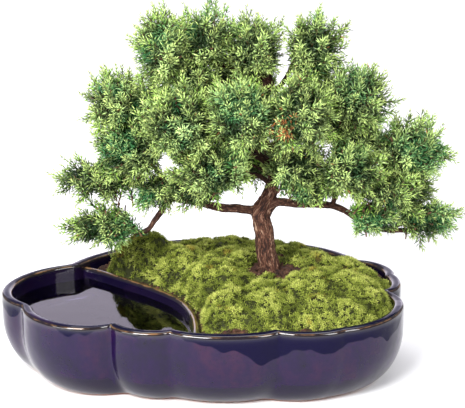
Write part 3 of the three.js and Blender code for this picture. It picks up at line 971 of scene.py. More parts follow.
    def mark_edges(self, mesh: bpy.types.Mesh) -> None:
        """Stores how near each vertex is to an edge where the glaze draws back, and which vertices lie inside
        the tray, where the glaze is painted darker as painted shade.
        """
        p = positions(mesh)
        inset = self.outline.inset_of(p[:, :2])
        depth = self.height - p[:, 2]
        outer = np.exp(-((inset - 0.5 * MM) / (1.3 * MM)) ** 2 - (depth / (3.2 * MM)) ** 2)
        inner = np.exp(-((inset - self.wall + 0.5 * MM) / (1.4 * MM)) ** 2 - (depth / (3.0 * MM)) ** 2)
        path = self.divider_path()
        near = np.min(np.linalg.norm(p[:, None, :2] - path[None, ::3], axis=2), axis=1)
        top = np.exp(-((self.divider_top - p[:, 2]) / (1.6 * MM)) ** 2) * (near < self.divider_thickness)
        store(mesh, "edge", np.maximum(np.maximum(outer, inner), top * 0.9 * (inset > self.wall)))
        # inside marks the inner wall and floor, which the glaze paints darker as painted shade
        store(mesh, "inside", (inset > self.wall * 0.6).astype(float))


@dataclass
class Pool:
    """The water between the tray's wall and the divider."""

    tray: Tray
    overlap: float = 0.25 * MM

    def build(self) -> bpy.types.Object:
        """Makes the water, level with the frame's own."""
        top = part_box("pool_water")[1][2]
        heights = np.linspace(self.tray.floor_top, top, 14)
        rings = [self.tray.outline.ring(self.tray.inner_inset(z) - self.overlap, z, 6) for z in heights]
        piece = seated("pool_surface", loft(rings), StillWater().material())
        edge = -self.tray.divider_thickness / 2 + self.overlap
        combine(piece, self.tray.side(edge, Half.SOIL), Joinery.CUT)
        crease(piece.data, 30)
        enlist(piece, "pool_water", "pool_water")
        return piece


# ---------------------------------------------------------------- soil and moss
@dataclass
class Ground:
    """The soil's surface: level with a line round the wall and rising to the tree's foot."""

    tray: Tray
    edge: float = 50 * MM
    rise: float = 20 * MM
    bank: float = 24 * MM  # how far from the divider the mound has risen
    foot: tuple[float, float] = (0.315, 0.0)

    def foot_point(self) -> np.ndarray:
        """Where the trunk enters the soil."""
        x, y = self.foot
        outline = self.tray.outline
        return np.array((x * outline.half_length, y * outline.half_depth, self.edge + self.rise))

    def heights(self, xy: np.ndarray) -> np.ndarray:
        """The soil's height at points in plan."""
        centre = self.foot_point()[:2]
        rim = self.tray.outline.points - centre
        angle = np.arctan2(rim[:, 1], rim[:, 0])
        order = np.argsort(angle)
        off = xy - centre
        turn = np.arctan2(off[:, 1], off[:, 0])
        reach = np.interp(turn, angle[order], np.linalg.norm(rim, axis=1)[order], period=2 * math.pi)
        share = np.clip(1 - np.linalg.norm(off, axis=1) / reach, 0, 1)
        path = self.tray.divider_path()
        near = np.min(np.linalg.norm(xy[:, None] - path[None], axis=2), axis=1)
        bank = np.clip((near - self.tray.divider_thickness / 2) / self.bank, 0, 1)
        return self.edge + self.rise * np.sin(share * math.pi / 2) * bank * (2 - bank)


@dataclass
class SoilBed:
    """The soil and the loose crumbs on it."""

    tray: Tray
    ground: Ground
    overlap: float = 0.2 * MM  # how far it reaches into the wall and the divider
    rings: int = 56
    crumbs: int = 5200
    seed: int = 11

    def build(self, cover: Callable[[np.ndarray], np.ndarray]) -> None:
        """Makes the soil's body and scatters crumbs where the moss leaves it bare.

        Args:
            cover: Gives the moss's height at points in plan.
        """
        outline = self.tray.outline
        levels = np.linspace(self.tray.floor_top, self.ground.edge, 8)
        sides = [outline.ring(self.tray.inner_inset(z) - self.overlap, z, 6) for z in levels]
        foot = Vector(self.ground.foot_point())
        wall = sides[-1]
        tops = []
        for k in range(1, self.rings):
            share = k / self.rings
            z = self.ground.edge + self.ground.rise * math.sin(share * math.pi / 2)
            tops.append([p.lerp(Vector((foot.x, foot.y, 0)), share).xy.to_3d() + UP * z for p in wall])
        shape = loft([*sides, *tops])
        p = np.array([v.co[:] for v in shape.verts])
        tops = self.ground.heights(p[:, :2]) + fractal(p, 7 * MM, 4) * 0.9 * MM
        tops += fractal(p + 3, 1.9 * MM, 2) * 0.6 * MM
        for vert, top in zip(shape.verts, tops):
            if vert.co.z > self.ground.edge + 0.2 * MM:
                vert.co.z = top
        piece = seated("soil_bed", shape, Earth().material())
        combine(piece, self.tray.side(self.tray.divider_thickness / 2 - self.overlap, Half.POOL), Joinery.CUT)
        crease(piece.data, 60)
        enlist(piece, "soil", "soil")
        self.scatter(cover)

    def scatter(self, cover: Callable[[np.ndarray], np.ndarray]) -> None:
        """Lays the loose crumbs."""
        rng = np.random.default_rng(self.seed)
        low, high = (np.array(c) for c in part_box("soil"))
        xy = rng.uniform(low[:2] + 3 * MM, high[:2] - 3 * MM, (self.crumbs * 4, 2))
        path = self.tray.divider_path()
        near = np.min(np.linalg.norm(xy[:, None] - path[None], axis=2), axis=1)
        side = np.interp(xy[:, 1], path[::-1, 1], path[::-1, 0])
        inside = self.tray.outline.inset_of(xy) > self.tray.wall + 2 * MM
        xy = xy[inside & (near > 4.5 * MM) & (xy[:, 0] > side)]
        z = self.ground.heights(xy)
        bare = cover(xy) < z + 2.5 * MM
        xy, z = xy[bare][: self.crumbs], z[bare][: self.crumbs]
        grain = bmesh.new()
        bmesh.ops.create_icosphere(grain, subdivisions=1, radius=1.0)
        swarm = Swarm(grain)
        count = len(xy)
        size = rng.uniform(0.35, 1.0, (count, 1)) ** 2.2 * 1.9 * MM + 0.35 * MM
        scales = size * rng.uniform(0.55, 1.2, (count, 3))
        places = np.column_stack([xy, z + size[:, 0] * 0.3])
        ways, fronts = rng.normal(size=(2, count, 3))
        swarm.add(placings(ways, fronts, scales, places), rng.random((count, 1)))
        crumb = Earth(brown=(0.055, 0.022, 0.012), pale=(0.20, 0.095, 0.050)).material("loose_soil")
        enlist(swarm.piece("soil_crumbs", crumb, ["tone"]), "soil")


BARE_PATCHES = ((0.44, 0.06, 12), (0.40, -0.10, 9), (-0.02, -0.46, 10), (0.90, 0.18, 12), (0.17, -0.16, 7))


@dataclass
class MossBed:
    """All the moss cushions: lumpy domes closely set with small star-shaped shoots."""

    tray: Tray
    ground: Ground
    spacing: float = 1.55 * MM
    spread: float = 1.42
    lump: float = 2.4 * MM
    seed: int = 23
    names: list[str] = field(init=False)
    domes: np.ndarray = field(init=False)

    def __post_init__(self) -> None:
        """Reads each cushion's place and size from the frame."""
        self.names = sorted(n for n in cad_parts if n.startswith("moss_"))
        rows = []
        for name in self.names:
            low, high = (np.array(c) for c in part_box(name))
            rows.append(np.concatenate([(low + high) / 2, (high - low) / 2, [high[2]]]))
        self.domes = np.array(rows)

    def shore(self, xy: np.ndarray) -> np.ndarray:
        """How freely moss grows at points: 0 at walls, trunk and bare patches, 1 well away from them."""
        outline = self.tray.outline
        path = self.tray.divider_path()
        near = np.min(np.linalg.norm(xy[:, None] - path[None], axis=2), axis=1)
        pool = xy[:, 0] < np.interp(xy[:, 1], path[::-1, 1], path[::-1, 0])
        bank = (np.where(pool, -near, near) - self.tray.divider_thickness / 2 - 2 * MM) / (6 * MM)
        wall = (outline.inset_of(xy) - self.tray.wall - 0.8 * MM) / (9 * MM)
        trunk = (np.linalg.norm(xy - self.ground.foot_point()[:2], axis=1) - 8.5 * MM) / (8 * MM)
        free = np.minimum.reduce([bank, wall, trunk])
        for x, y, radius in BARE_PATCHES:
            centre = np.array((x * outline.half_length, y * outline.half_depth))
            gap = np.linalg.norm(xy - centre, axis=1) / (radius * MM)
            free = np.minimum(free, (gap - 0.55) / 0.6)
        return np.sqrt(np.clip(free, 0, 1))

    def dome_height(self, index: int, xy: np.ndarray) -> np.ndarray:
        """One cushion's height at points in plan, or -1 where it does not reach."""
        x, y, _, hx, hy, _, top = self.domes[index]
        reach = ((xy[:, 0] - x) / (hx * self.spread)) ** 2 + ((xy[:, 1] - y) / (hy * self.spread)) ** 2
        rise = top - self.ground.heights(np.array([[x, y]]))[0]
        dome = (rise + 1.5 * MM) * np.sqrt(np.clip(1 - reach, 0, 1)) * self.shore(xy) - 1.5 * MM
        return np.where(reach < 1, self.ground.heights(xy) + dome, -1.0)

    def lumps(self, xyz: np.ndarray) -> np.ndarray:
        """How far the cushions' surface swells and dips at points."""
        cells = np.array([noise.voronoi(Vector(p) / (15 * MM))[0][0] for p in xyz])
        fine = fractal(xyz + 5, 4.5 * MM, 2)
        return self.lump * (1.0 - 4.2 * cells**2 + 0.4 * fine)

    def cover(self, xy: np.ndarray) -> np.ndarray:
        """The highest cushion's height at points in plan."""
        return np.max([self.dome_height(i, xy) for i in range(len(self.names))], axis=0)

    @staticmethod
    def star() -> bmesh.types.BMesh:
        """One shoot: a pointed leaf straight up with four more spread round it."""
        shape = bmesh.new()
        for i in range(5):
            leaf = spike(shape, 0.20, 0.0, 1.0, 0.5)
            bmesh.ops.scale(shape, vec=(1.0, 0.55, 1.0), verts=leaf)
            tilt = Matrix.Rotation(math.radians(52 if i else 0), 3, "X")
            bmesh.ops.rotate(shape, matrix=Matrix.Rotation(i * math.tau / 4, 3, "Z") @ tilt, verts=leaf)
        return shape

    def build(self) -> None:
        """Makes every cushion."""
        material = CushionMoss().material()
        rng = np.random.default_rng(self.seed)
        for index, name in enumerate(self.names):
            self.cushion(index, name, material, rng)

    def cushion(self, index: int, name: str, material: bpy.types.Material, rng: np.random.Generator) -> None:
        """Makes one cushion: the shoots on it and then its heart.

        Args:
            index: Its number.
            name: Its CAD node.
            material: The moss.
            rng: The source of chance.
        """
        x, y, _, hx, hy, _, _ = self.domes[index]
        wide, deep = hx * self.spread, hy * self.spread
        steepest = 2.6
        count = int(4 * wide * deep * steepest / self.spacing**2)
        xy = np.column_stack([x + wide * rng.uniform(-1, 1, count), y + deep * rng.uniform(-1, 1, count)])
        own = self.dome_height(index, xy)
        best = self.cover(xy)
        soil = self.ground.heights(xy)
        keep = (own > soil + 0.4 * MM) & (own >= best - 0.3 * MM)
        xy, own = xy[keep], own[keep]
        e = 0.6 * MM
        slope = np.column_stack([
            (self.dome_height(index, xy + (e, 0)) - self.dome_height(index, xy - (e, 0))) / (2 * e),
            (self.dome_height(index, xy + (0, e)) - self.dome_height(index, xy - (0, e))) / (2 * e),
        ])
        slope = np.clip(slope, -2.5, 2.5)
        steep = np.sqrt(1 + np.sum(slope**2, axis=1))
        kept = rng.random(len(xy)) < steep / steepest
        xy, own, slope = xy[kept], own[kept], slope[kept]
        points = np.column_stack([xy, own])
        lump = self.lumps(points)
        count = len(points)
        normal = unit(np.column_stack([-slope, np.ones(count)]))
        ways = normal + rng.normal(scale=0.45, size=(count, 3)) + (0, 0, 0.15)
        scales = np.repeat(rng.uniform(1.8, 3.3, (count, 1)) * MM, 3, axis=1)
        places = points + normal * 0.5 * MM
        places[:, 2] += np.minimum(lump, 2 * MM) - 1.1 * MM
        star = self.star()
        swarm = Swarm(star)
        along = np.array([min(1.0, v.co.length) for v in star.verts])
        # the second mark follows the lumps: painted light on their tops and painted shade in the dips between
        # them
        marks = np.column_stack([rng.random(count), np.clip(0.45 + lump / (1.8 * self.lump), 0, 1)])
        swarm.add(placings(ways, rng.normal(size=(count, 3)), scales, places), marks)
        enlist(swarm.piece(name + "_shoots", material, ["tone", "young"], {"along": along}), "moss")
        self.heart(index, name, material)

    def heart(self, index: int, name: str, material: bpy.types.Material) -> None:
        """Makes the dense body under one cushion's shoots, painted dark as painted shade.

        Args:
            index: Its number.
            name: Its CAD node.
            material: The moss.
        """
        x, y, _, hx, hy, _, _ = self.domes[index]
        wide, deep = hx * self.spread, hy * self.spread
        heart = bmesh.new()
        bmesh.ops.create_icosphere(heart, subdivisions=4, radius=1.0)
        for vert in heart.verts:
            vert.co = (x + vert.co.x * wide * 0.99, y + vert.co.y * deep * 0.99, vert.co.z)
        p = np.array([v.co[:] for v in heart.verts])
        tops = np.maximum(self.dome_height(index, p[:, :2]), self.ground.heights(p[:, :2]) - 3 * MM)
        tops += np.minimum(self.lumps(np.column_stack([p[:, :2], tops])), 2 * MM) - 1.1 * MM
        floor = self.ground.edge - 6 * MM
        tops = np.maximum(tops, floor + 0.5 * MM)
        for vert, top in zip(heart.verts, tops):
            vert.co.z = top if vert.co.z > -0.02 else floor
        bmesh.ops.recalc_face_normals(heart, faces=heart.faces)
        body = seated(name + "_heart", heart, material)
        limit = loft([self.tray.outline.ring(self.tray.wall + 0.6 * MM, z, 6) for z in (0, 0.2)])
        combine(body, limit, Joinery.KEEP)
        combine(body, self.tray.side(self.tray.divider_thickness / 2 + 0.4 * MM, Half.POOL), Joinery.CUT)
        # low marks paint the heart dark: painted shade under the shoots
        for mark, value in (("tone", 0.2), ("young", 0.15), ("along", 0.24)):
            store(body.data, mark, np.full(len(body.data.vertices), value))
        enlist(body, "moss", name)


# ---------------------------------------------------------------- the tree
TRUNK = ((2, 0, -15), (3, 0, 2), (0, 0, 16), (-1, 0, 30), (-3, 0, 39), (-4, 0, 46), (1, 1, 55), (5, 3, 66),
         (7, 3, 78), (9, 5, 97), (10, 6, 114), (6, 8, 133), (0, 10, 150))
TRUNK_RADII = (9, 8.2, 7.3, 6.9, 6.8, 6.5, 5.6, 4.9, 4.2, 3.4, 2.7, 2.1, 1.6)
LEFT_LIMB = ((-3, 0, 42), (-8, 0, 46), (-19, -1, 48), (-31, -2, 49), (-45, -2, 52), (-60, -2, 55),
             (-71, -3, 56), (-75, -3, 48), (-81, -4, 40), (-86, -4, 33), (-92, -4, 31), (-100, -4, 31),
             (-112, -4, 31))
RIGHT_LIMB = ((-1, 0, 42), (3, -1, 49), (8, -1, 53), (14, -1, 53), (22, -2, 52), (33, -2, 52),
              (48, -3, 51), (56, -3, 48), (64, -4, 43), (72, -5, 37), (88, -5, 33), (104, -5, 33),
              (122, -5, 34), (134, -5, 36))
ROOTS = ((5, 22), (62, 15), (128, 18), (196, 16), (250, 19), (318, 17))
BRANCH_STARTS = {
    "foliage_apex_left": (3, 9, 141),
    "foliage_upper_left": (5, 8, 135),
    "foliage_apex_middle": (0, 10, 148),
    "foliage_apex_right": (6, 9, 133),
    "foliage_shoulder_right": (10, 6, 116),
    "foliage_right_middle": (9, 5, 97),
    "foliage_right_low": (64, -4, 43),
    "foliage_right_tip": (88, -5, 33),
    "foliage_right_inner": (48, -3, 51),
    "foliage_shoulder_left": (9, 5, 99),
    "foliage_left_low": (-71, -3, 56),
    "foliage_left_tip": (-92, -4, 31),
    "foliage_left_inner": (-60, -2, 55),
    "foliage_left_hanging": (-60, -2, 55),
    "foliage_front_left": (7, 3, 78),
    "foliage_front_middle": (8, 4, 84),
    "foliage_front_low": (5, 3, 64),
    "foliage_front_right": (8, 4, 90),
    "foliage_under_right": (5, 3, 66),
    "foliage_back_left": (7, 3, 80),
    "foliage_back_middle": (9, 5, 98),
    "foliage_back_right": (9, 5, 94),
    "foliage_back_low": (5, 3, 66),
}


SPRAYS = {
    "foliage_upper_spray": ((-55, 0, 148), (22, 22, 15), (5, 8, 120)),
    "foliage_right_spray": ((67, 0, 99), (20, 20, 16), (9, 5, 97)),
    "foliage_left_under_spray": ((-52, -14, 66), (25, 18, 12), (-45, -2, 52)),
    "foliage_right_under_spray": ((34, -12, 66), (24, 18, 10), (22, -2, 52)),
    "foliage_right_hanging_spray": ((80, -14, 45), (20, 16, 12), (64, -4, 43)),
}


@dataclass
class Cloud:
    """One cloud of needles: its name, its middle, its half sizes and where its branch starts."""

    name: str
    middle: np.ndarray
    half: np.ndarray
    start: np.ndarray


@dataclass
class Limb:
    """One piece of wood: its route and its radius along it."""

    path: np.ndarray
    radii: np.ndarray
    sides: int


@dataclass
class Tree:
    """The juniper: its wood as one piece and its clouds of needles."""

    ground: Ground
    growth: float = 1.035  # the routes are drawn for a slightly smaller tree
    voxel: float = 0.62 * MM
    limb_radii: tuple[float, float] = (3.9, 1.5)
    branch_radii: tuple[float, float] = (2.1, 0.9)
    root_radii: tuple[float, float] = (3.2, 0.9)
    clouds: list[Cloud] = field(init=False)

    def __post_init__(self) -> None:
        """Reads each cloud's place and size from the frame."""
        self.clouds = []
        for node, start in BRANCH_STARTS.items():
            low, high = (np.array(c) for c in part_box(node))
            self.clouds.append(Cloud(node, (low + high) / 2, (high - low) / 2, self.place(start)))
        for name, (middle, half, start) in SPRAYS.items():
            self.clouds.append(Cloud(name, self.place(middle), np.array(half) * MM, self.place(start)))

    def place(self, point: Sequence[float]) -> np.ndarray:
        """A drawn point, in millimetres from the tree's foot, in the frame."""
        return np.array(point) * self.growth * MM + self.ground.foot_point()

    def route(self, points: Sequence[Sequence[float]], steps: int) -> np.ndarray:
        """A smooth route through drawn points."""
        return spline([self.place(p) for p in points], steps)

    def limbs(self) -> list[Limb]:
        """Every piece of wood, thick ones first."""
        trunk = self.route(TRUNK, 100)
        widths = np.interp(np.linspace(0, len(TRUNK) - 1, 100), range(len(TRUNK)), TRUNK_RADII) * MM
        made = [Limb(trunk, widths, 26)]
        for points in (LEFT_LIMB, RIGHT_LIMB):
            radii = np.interp(np.linspace(0, 1, 80) ** 0.8, (0, 1), self.limb_radii) * MM
            made.append(Limb(self.route(points, 80), radii, 16))
        made += [self.root(turn, length) for turn, length in ROOTS]
        for cloud in self.clouds:
            made.append(self.branch(cloud))
        return made

    def root(self, turn: float, length: float) -> Limb:
        """A surface root that runs from the trunk over the soil and dips into it."""
        way = np.array((math.cos(math.radians(turn)), math.sin(math.radians(turn))))
        foot = self.ground.foot_point()
        bark = 7.4
        route = []
        stations = ((0, 7), (bark * 0.7, 3), (bark + length * 0.3, 0.9), (bark + length * 0.65, 0.2),
                    (bark + length, -4))
        for reach, lift in stations:
            bend = 2.5 * math.sin(reach * 0.35 + turn)
            xy = foot[:2] + (way * reach + np.array((-way[1], way[0])) * bend) * MM
            route.append((*xy, self.ground.heights(xy[None])[0] + lift * MM))
        radii = np.interp(np.linspace(0, 1, 24) ** 0.7, (0, 1), self.root_radii) * MM
        return Limb(spline(route, 24), radii, 12)

    def branch(self, cloud: Cloud) -> Limb:
        """The branch that carries a cloud, with a few soft bends in it."""
        rng = np.random.default_rng(len(cloud.name) * 7 + int(abs(cloud.middle[0]) * 1e4))
        run = cloud.middle - cloud.start
        bends = [cloud.start]
        for share in (0.3, 0.6, 0.85):
            point = cloud.start + run * share + (0, 0, np.linalg.norm(run) * 0.24 * share * (1 - share))
            bends.append(point + rng.normal(scale=1.6 * MM, size=3))
        bends.append(cloud.middle)
        radii = np.interp(np.linspace(0, 1, 30), (0, 1), self.branch_radii) * MM
        return Limb(spline(bends, 30), radii, 10)

    def build_wood(self) -> bpy.types.Object:
        """Grows the wood into one skin and raises the bark's fibres on it."""
        limbs = self.limbs()
        shape = bmesh.new()
        for limb in limbs:
            tube(shape, limb.path, limb.radii, limb.sides)
        bmesh.ops.recalc_face_normals(shape, faces=shape.faces)
        piece = seated("juniper_wood", shape, Bark().material())
        skin = piece.modifiers.new("skin", "REMESH")
        skin.mode = "VOXEL"
        skin.voxel_size = self.voxel
        skin.use_smooth_shade = True
        ease = piece.modifiers.new("ease", "SMOOTH")
        ease.factor = 0.5
        ease.iterations = 3
        bake_modifiers(piece)
        self.raise_bark(piece.data, limbs)
        enlist(piece, "bark", "trunk_and_limbs")
        return piece

    def raise_bark(self, mesh: bpy.types.Mesh, limbs: Sequence[Limb]) -> None:
        """Lifts the bark in strips that follow each limb, and stores their direction.

        Args:
            mesh: The wood's skin.
            limbs: The limbs that it was grown from.
        """
        samples, ways, lengths, radii = [], [], [], []
        for limb in limbs:
            samples.append(limb.path)
            ways.append(unit(np.gradient(limb.path, axis=0)))
            steps = np.linalg.norm(np.diff(limb.path, axis=0), axis=1)
            lengths.append(np.concatenate([[0], np.cumsum(steps)]))
            radii.append(limb.radii)
        samples, ways = np.concatenate(samples), np.concatenate(ways)
        lengths, radii = np.concatenate(lengths), np.concatenate(radii)
        p = positions(mesh).astype(float)
        nearest = np.empty(len(p), int)
        for start in range(0, len(p), 4000):
            part = p[start:start + 4000]
            gap = np.linalg.norm(part[:, None] - samples[None], axis=2) - radii[None]
            nearest[start:start + 4000] = np.argmin(gap, axis=1)
        off = p - samples[nearest]
        z = ways[nearest]
        side = unit(np.cross(z, (0.2, 0.9, 0.4)))
        other = np.cross(z, side)
        run = lengths[nearest] + np.sum(off * z, axis=1)
        grain = np.column_stack([np.sum(off * side, axis=1), np.sum(off * other, axis=1), run * 0.30])
        own = radii[nearest]
        ridge = fractal(grain, 2.6 * MM, 3)
        flake = fractal(grain + 1, 1.1 * MM, 2)
        lift = np.clip(own / (5 * MM), 0.15, 1.0) * (0.75 * ridge + 0.45 * flake) * MM
        normals = np.empty(len(p) * 3, np.float32)
        mesh.vertices.foreach_get("normal", normals)
        p += normals.reshape(-1, 3) * lift[:, None]
        mesh.vertices.foreach_set("co", p.astype(np.float32).ravel())
        mesh.update()
        strips = mesh.attributes.new("grain", "FLOAT_VECTOR", "POINT").data
        strips.foreach_set("vector", grain.astype(np.float32).ravel())
        store(mesh, "slender", np.clip(1.25 - own / (4 * MM), 0, 1))


@dataclass
class Foliage:
    """The needles: shoots fan out of each cloud's heart, and every shoot carries whorls of three."""

    tree: Tree
    needle_length: float = 7.2 * MM
    whorl_gap: float = 2.3 * MM
    shoot_area: float = 94 * MM * MM  # of a cloud's surface for each shoot
    sparse_side: float = -78 * MM  # clouds further left than this are thin
    seed: int = 41
    withered: tuple[float, float, float] = (0.056, -0.060, 0.200)  # the middle of a patch of dead needles
    withered_radius: float = 13 * MM

    @staticmethod
    def needle() -> bmesh.types.BMesh:
        """One awl-shaped needle of length one along +Z, flat on its +Y side and keeled on the other."""
        shape = bmesh.new()
        made = spike(shape, 0.1, 0.0, 0.6, 0.7)
        ring = [v for v in made if v.co.z < 0.5]
        for vert, (x, y) in zip(ring, ((-0.092, 0.02), (0.092, 0.02), (0.0, -0.06))):
            vert.co.x, vert.co.y = x, y
        cap = [f for f in shape.faces if all(v in ring for v in f.verts)]
        heel = bmesh.ops.poke(shape, faces=cap)["verts"][0]
        heel.co = (0, 0, 0)
        bmesh.ops.recalc_face_normals(shape, faces=shape.faces)
        return shape

    def build(self) -> None:
        """Makes every cloud."""
        leaf, twig = Needles().material(), Twig().material()
        needle = self.needle()
        along = np.array([v.co.z for v in needle.verts])
        band = np.array([1.0 if f.normal.y > 0.3 else 0.0 for f in needle.faces])
        rng = np.random.default_rng(self.seed)
        for cloud in self.tree.clouds:
            needles, twigs = Swarm(needle), Swarm(self.twig())
            self.grow(cloud, needles, twigs, rng)
            self.shadow(needles)
            name = cloud.name.replace("foliage", "needles")
            piece = needles.piece(name, leaf, ["tone", "young", "dead"], {"along": along}, {"band": band})
            enlist(piece, "needles", *([cloud.name] if cloud.name in BRANCH_STARTS else []))
            enlist(twigs.piece(cloud.name.replace("foliage", "twigs"), twig, ["young"]), "bark")

    def shadow(self, needles: Swarm) -> None:
        """Paints needles deeper inside any cloud darker and with less yellow at their tips: painted shade.

        Args:
            needles: One cloud's needles, whose tone is changed.
        """
        for frames, marks in zip(needles.frames, needles.marks):
            spots = frames[:, :, 3]
            depths = [np.linalg.norm((spots - c.middle) / c.half, axis=1) for c in self.tree.clouds]
            open_air = np.clip((np.min(depths, axis=0) - 0.48) / 0.50, 0.0, 1.0)
            marks[:, 0] *= open_air
            marks[:, 1] *= open_air

    @staticmethod
    def twig() -> bmesh.types.BMesh:
        """A stretch of twig with length one along +Z and radius one."""
        shape = bmesh.new()
        spike(shape, 1.0, 0.8, 1.0, 0.5)
        return shape

    def grow(self, cloud: Cloud, needles: Swarm, twigs: Swarm, rng: np.random.Generator) -> None:
        """Fans a cloud's shoots out of its heart.

        Args:
            cloud: The cloud.
            needles: Where its needles go.
            twigs: Where its twigs go.
            rng: The source of chance.
        """
        mean = np.cbrt(np.prod(cloud.half))
        count = int(4 * math.pi * mean**2 / self.shoot_area)
        count = int(count * (0.55 if cloud.middle[0] < self.sparse_side else 1.0))
        golden = math.pi * (3 - math.sqrt(5))
        trunk_x = self.tree.ground.foot_point()[0]
        outward = unit(cloud.middle - (trunk_x, 0.01, 0.13))
        for i in range(count):
            height = 1 - 2 * (i + 0.5) / count
            turn = golden * i + rng.normal(scale=0.3)
            flat = math.sqrt(1 - height * height)
            way = np.array((flat * math.cos(turn), flat * math.sin(turn), height))
            rise = (0.38 if way[2] > -0.2 else -0.05) * (1.0 if cloud.half[2] > 16 * MM else 0.2)
            lean = unit(way * 0.85 + outward * 0.5 + np.array((0, 0, rise)) + rng.normal(scale=0.22, size=3))
            length = min(rng.uniform(24, 40) * MM, 1.7 * mean)
            reach = rng.uniform(1, 13) * min(1.0, cloud.half[2] / (18 * MM))
            reach += 4 * max(0.0, way[2]) * rng.random()
            tip = cloud.middle + way * cloud.half * rng.uniform(0.50, 0.98) + lean * reach * MM
            foot = unit(lean + way * 0.4 - np.array((0, 0, 0.45)))
            start = tip - (lean * 0.55 + foot * 0.45) * length
            bend = tip - lean * length * 0.5
            t = np.linspace(0, 1, 14)[:, None]
            path = start * (1 - t) ** 2 + 2 * bend * t * (1 - t) + tip * t**2
            self.shoot(path, 0.12, 0.7 * MM, needles, twigs, rng)
            self.side_shoots(path, needles, twigs, rng)

    def side_shoots(self, path: np.ndarray, needles: Swarm, twigs: Swarm, rng: np.random.Generator) -> None:
        """Gives a shoot its side shoots, longer below and shorter towards its tip."""
        length = np.linalg.norm(path[-1] - path[0])
        turn = rng.uniform(0, math.tau)
        for place in np.arange(0.14, 0.86, 0.145):
            at = place + rng.normal(scale=0.02)
            index = int(at * (len(path) - 1))
            base, way = path[index], unit(path[min(index + 1, len(path) - 1)] - path[index])
            side = unit(np.cross(way, (0.3, 0.2, 0.93)))
            turn += 2.4 + rng.normal(scale=0.3)
            side = side * math.cos(turn) + np.cross(way, side) * math.sin(turn)
            lean = unit(way * 0.95 + side * 0.75 + np.array((0, 0, 0.12)))
            reach = min(length * 0.40, 13.5 * MM) * (1.20 - at * 0.85) * rng.uniform(0.7, 1.25)
            t = np.linspace(0, 1, 6)[:, None]
            run = base + lean * reach * t + (way - lean) * reach * 0.35 * t**2
            self.shoot(run, 0.05, 0.4 * MM, needles, twigs, rng)

    def shoot(self, path: np.ndarray, bare: float, radius: float, needles: Swarm, twigs: Swarm,
              rng: np.random.Generator) -> None:
        """Sets needles in whorls of three along one shoot.

        Args:
            path: The shoot's route.
            bare: The share of it below the first needle.
            radius: The twig's radius at its foot.
            needles: Where its needles go.
            twigs: Where its stretches of twig go.
            rng: The source of chance.
        """
        steps = np.linalg.norm(np.diff(path, axis=0), axis=1)
        run = np.concatenate([[0], np.cumsum(steps)])
        whorls = max(3, int(run[-1] * (1 - bare) / self.whorl_gap))
        at = np.linspace(bare, 1, whorls)
        share = (at - bare) / (1 - bare)
        spots = np.column_stack([np.interp(at * run[-1], run, path[:, k]) for k in range(3)])
        ways = unit(np.gradient(spots, axis=0))
        side = unit(np.cross(ways, rng.normal(size=3)))
        other = np.cross(ways, side)
        tone = rng.uniform(0.05, 0.9)
        grid = (whorls, 3)
        turn = (np.arange(whorls) * math.pi / 3)[:, None] + np.arange(3) * math.tau / 3
        turn = turn + rng.normal(scale=0.16, size=grid)
        open_angle = np.radians(56 - 26 * share**1.6)[:, None] + rng.normal(scale=0.10, size=grid)
        radial = side[:, None] * np.cos(turn)[..., None] + other[:, None] * np.sin(turn)[..., None]
        leaf = ways[:, None] * np.cos(open_angle)[..., None] + radial * np.sin(open_angle)[..., None]
        size = self.needle_length * (1.0 - 0.40 * share**3)[:, None] * rng.uniform(0.78, 1.15, grid)
        scales = np.repeat(size[:, :, None], 3, axis=2)
        places = np.repeat(spots[:, None], 3, axis=1)
        fronts = np.repeat(ways[:, None], 3, axis=1)
        young = np.repeat((share**2.2)[:, None], 3, axis=1)
        near = np.linalg.norm(spots - self.withered, axis=1) < self.withered_radius
        dead = (rng.random(grid) < np.where(near, 0.50, 0.002)[:, None]).astype(float)
        tones = np.clip(tone + rng.normal(scale=0.14, size=grid), 0, 1)
        marks = np.stack([tones, young, dead], axis=2)
        rows = [array.reshape(-1, 3) for array in (leaf, fronts, scales, places, marks)]
        needles.add(placings(*rows[:4]), rows[4])
        joints = path[:: max(1, len(path) // 3)]
        parts = np.diff(joints, axis=0)
        thick = radius * np.linspace(1, 0.5, len(parts))
        scales = np.column_stack([thick, thick, np.linalg.norm(parts, axis=1) * 1.04])
        fronts = np.cross(parts, (0.3, 0.5, 0.81))
        twigs.add(placings(parts, fronts, scales, joints[:-1]), np.linspace(0, 1, len(parts))[:, None])


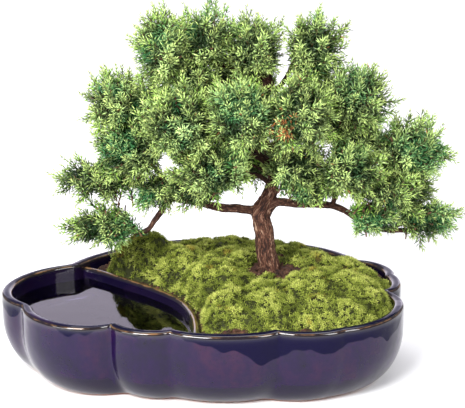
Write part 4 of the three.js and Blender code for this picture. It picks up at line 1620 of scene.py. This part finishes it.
# ---------------------------------------------------------------- the studio
@dataclass
class Studio:
    """The pale table, the soft lights and the camera."""

    elevation: float = 17.5  # degrees above the horizon
    distance: float = 1.29
    aim: tuple[float, float, float] = (0.0229, 0.0181, 0.1174)
    lens: float = 130.55
    table_half: float = 4.0

    def build(self) -> None:
        """Sets the studio up."""
        self.table()
        self.world()
        self.softbox("key_light", (-0.62, -1.15, 0.98), (0.75, 0.6), 42)
        self.softbox("fill_light", (0.95, -0.95, 0.85), (0.5, 0.8), 15)
        self.softbox("low_light", (-0.95, -0.85, 0.36), (0.7, 0.22), 6)
        self.softbox("top_light", (0.1, 0.35, 1.5), (1.2, 1.0), 16)
        self.softbox("back_light", (0.0, 1.7, 0.62), (2.2, 0.9), 12, (0.90, 0.84, 1.0))
        self.camera()

    def camera(self) -> None:
        """Places the camera on the line that it looks along."""
        data = bpy.data.cameras.new("camera")
        data.lens = self.lens
        data.sensor_width = 36.0
        data.clip_end = 20
        camera = bpy.data.objects.new("camera", data)
        tilt = math.radians(self.elevation)
        back = Vector((0, -math.cos(tilt), math.sin(tilt)))
        camera.location = Vector(self.aim) + back * self.distance
        camera.rotation_euler = (math.pi / 2 - tilt, 0, 0)
        bpy.context.collection.objects.link(camera)
        bpy.context.scene.camera = camera

    def table(self) -> None:
        """Lays the pale table under the tray."""
        shape = bmesh.new()
        bmesh.ops.create_grid(shape, x_segments=8, y_segments=8, size=self.table_half)
        bmesh.ops.translate(shape, vec=(0, 0, -0.0003), verts=shape.verts)
        seated("table", shape, PaleTable().material())

    def world(self) -> None:
        """Lights the room evenly and keeps colours as they are."""
        world = bpy.data.worlds.new("room")
        world.use_nodes = True
        background = world.node_tree.nodes["Background"]
        background.inputs["Color"].default_value = (0.94, 0.92, 1.0, 1.0)
        background.inputs["Strength"].default_value = 0.32
        bpy.context.scene.world = world
        bpy.context.scene.view_settings.view_transform = "Standard"

    def softbox(self, name: str, place: tuple[float, float, float], size: tuple[float, float], watts: float,
                colour: Colour = (1.0, 1.0, 1.0)) -> None:
        """Hangs one soft light that faces the tree.

        Args:
            name: The light's name.
            place: Where it hangs.
            size: Its width and height.
            watts: Its power.
            colour: Its colour.
        """
        data = bpy.data.lights.new(name, "AREA")
        data.shape = "RECTANGLE"
        data.size, data.size_y = size
        data.energy = watts
        data.color = colour
        light = bpy.data.objects.new(name, data)
        light.location = place
        light.rotation_euler = (Vector((0.02, 0, 0.1)) - Vector(place)).to_track_quat("-Z", "Y").to_euler()
        bpy.context.collection.objects.link(light)


def dress_netting() -> None:
    """Gives the two squares of netting their moulded plastic."""
    material = MouldedNet().material()
    for name in ("drain_mesh_1", "drain_mesh_2"):
        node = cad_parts[name]
        node.data.materials.clear()
        node.data.materials.append(material)


def main() -> None:
    """Builds everything in order."""
    logging.basicConfig(level=logging.INFO, format="%(message)s")
    outline = Outline()
    tray = Tray(outline)
    ground = Ground(tray)
    moss = MossBed(tray, ground)
    tree = Tree(ground)
    tray.build()
    Pool(tray).build()
    SoilBed(tray, ground).build(moss.cover)
    moss.build()
    tree.build_wood()
    Foliage(tree).build()
    dress_netting()
    Studio().build()


if __name__ == "__main__":
    main()
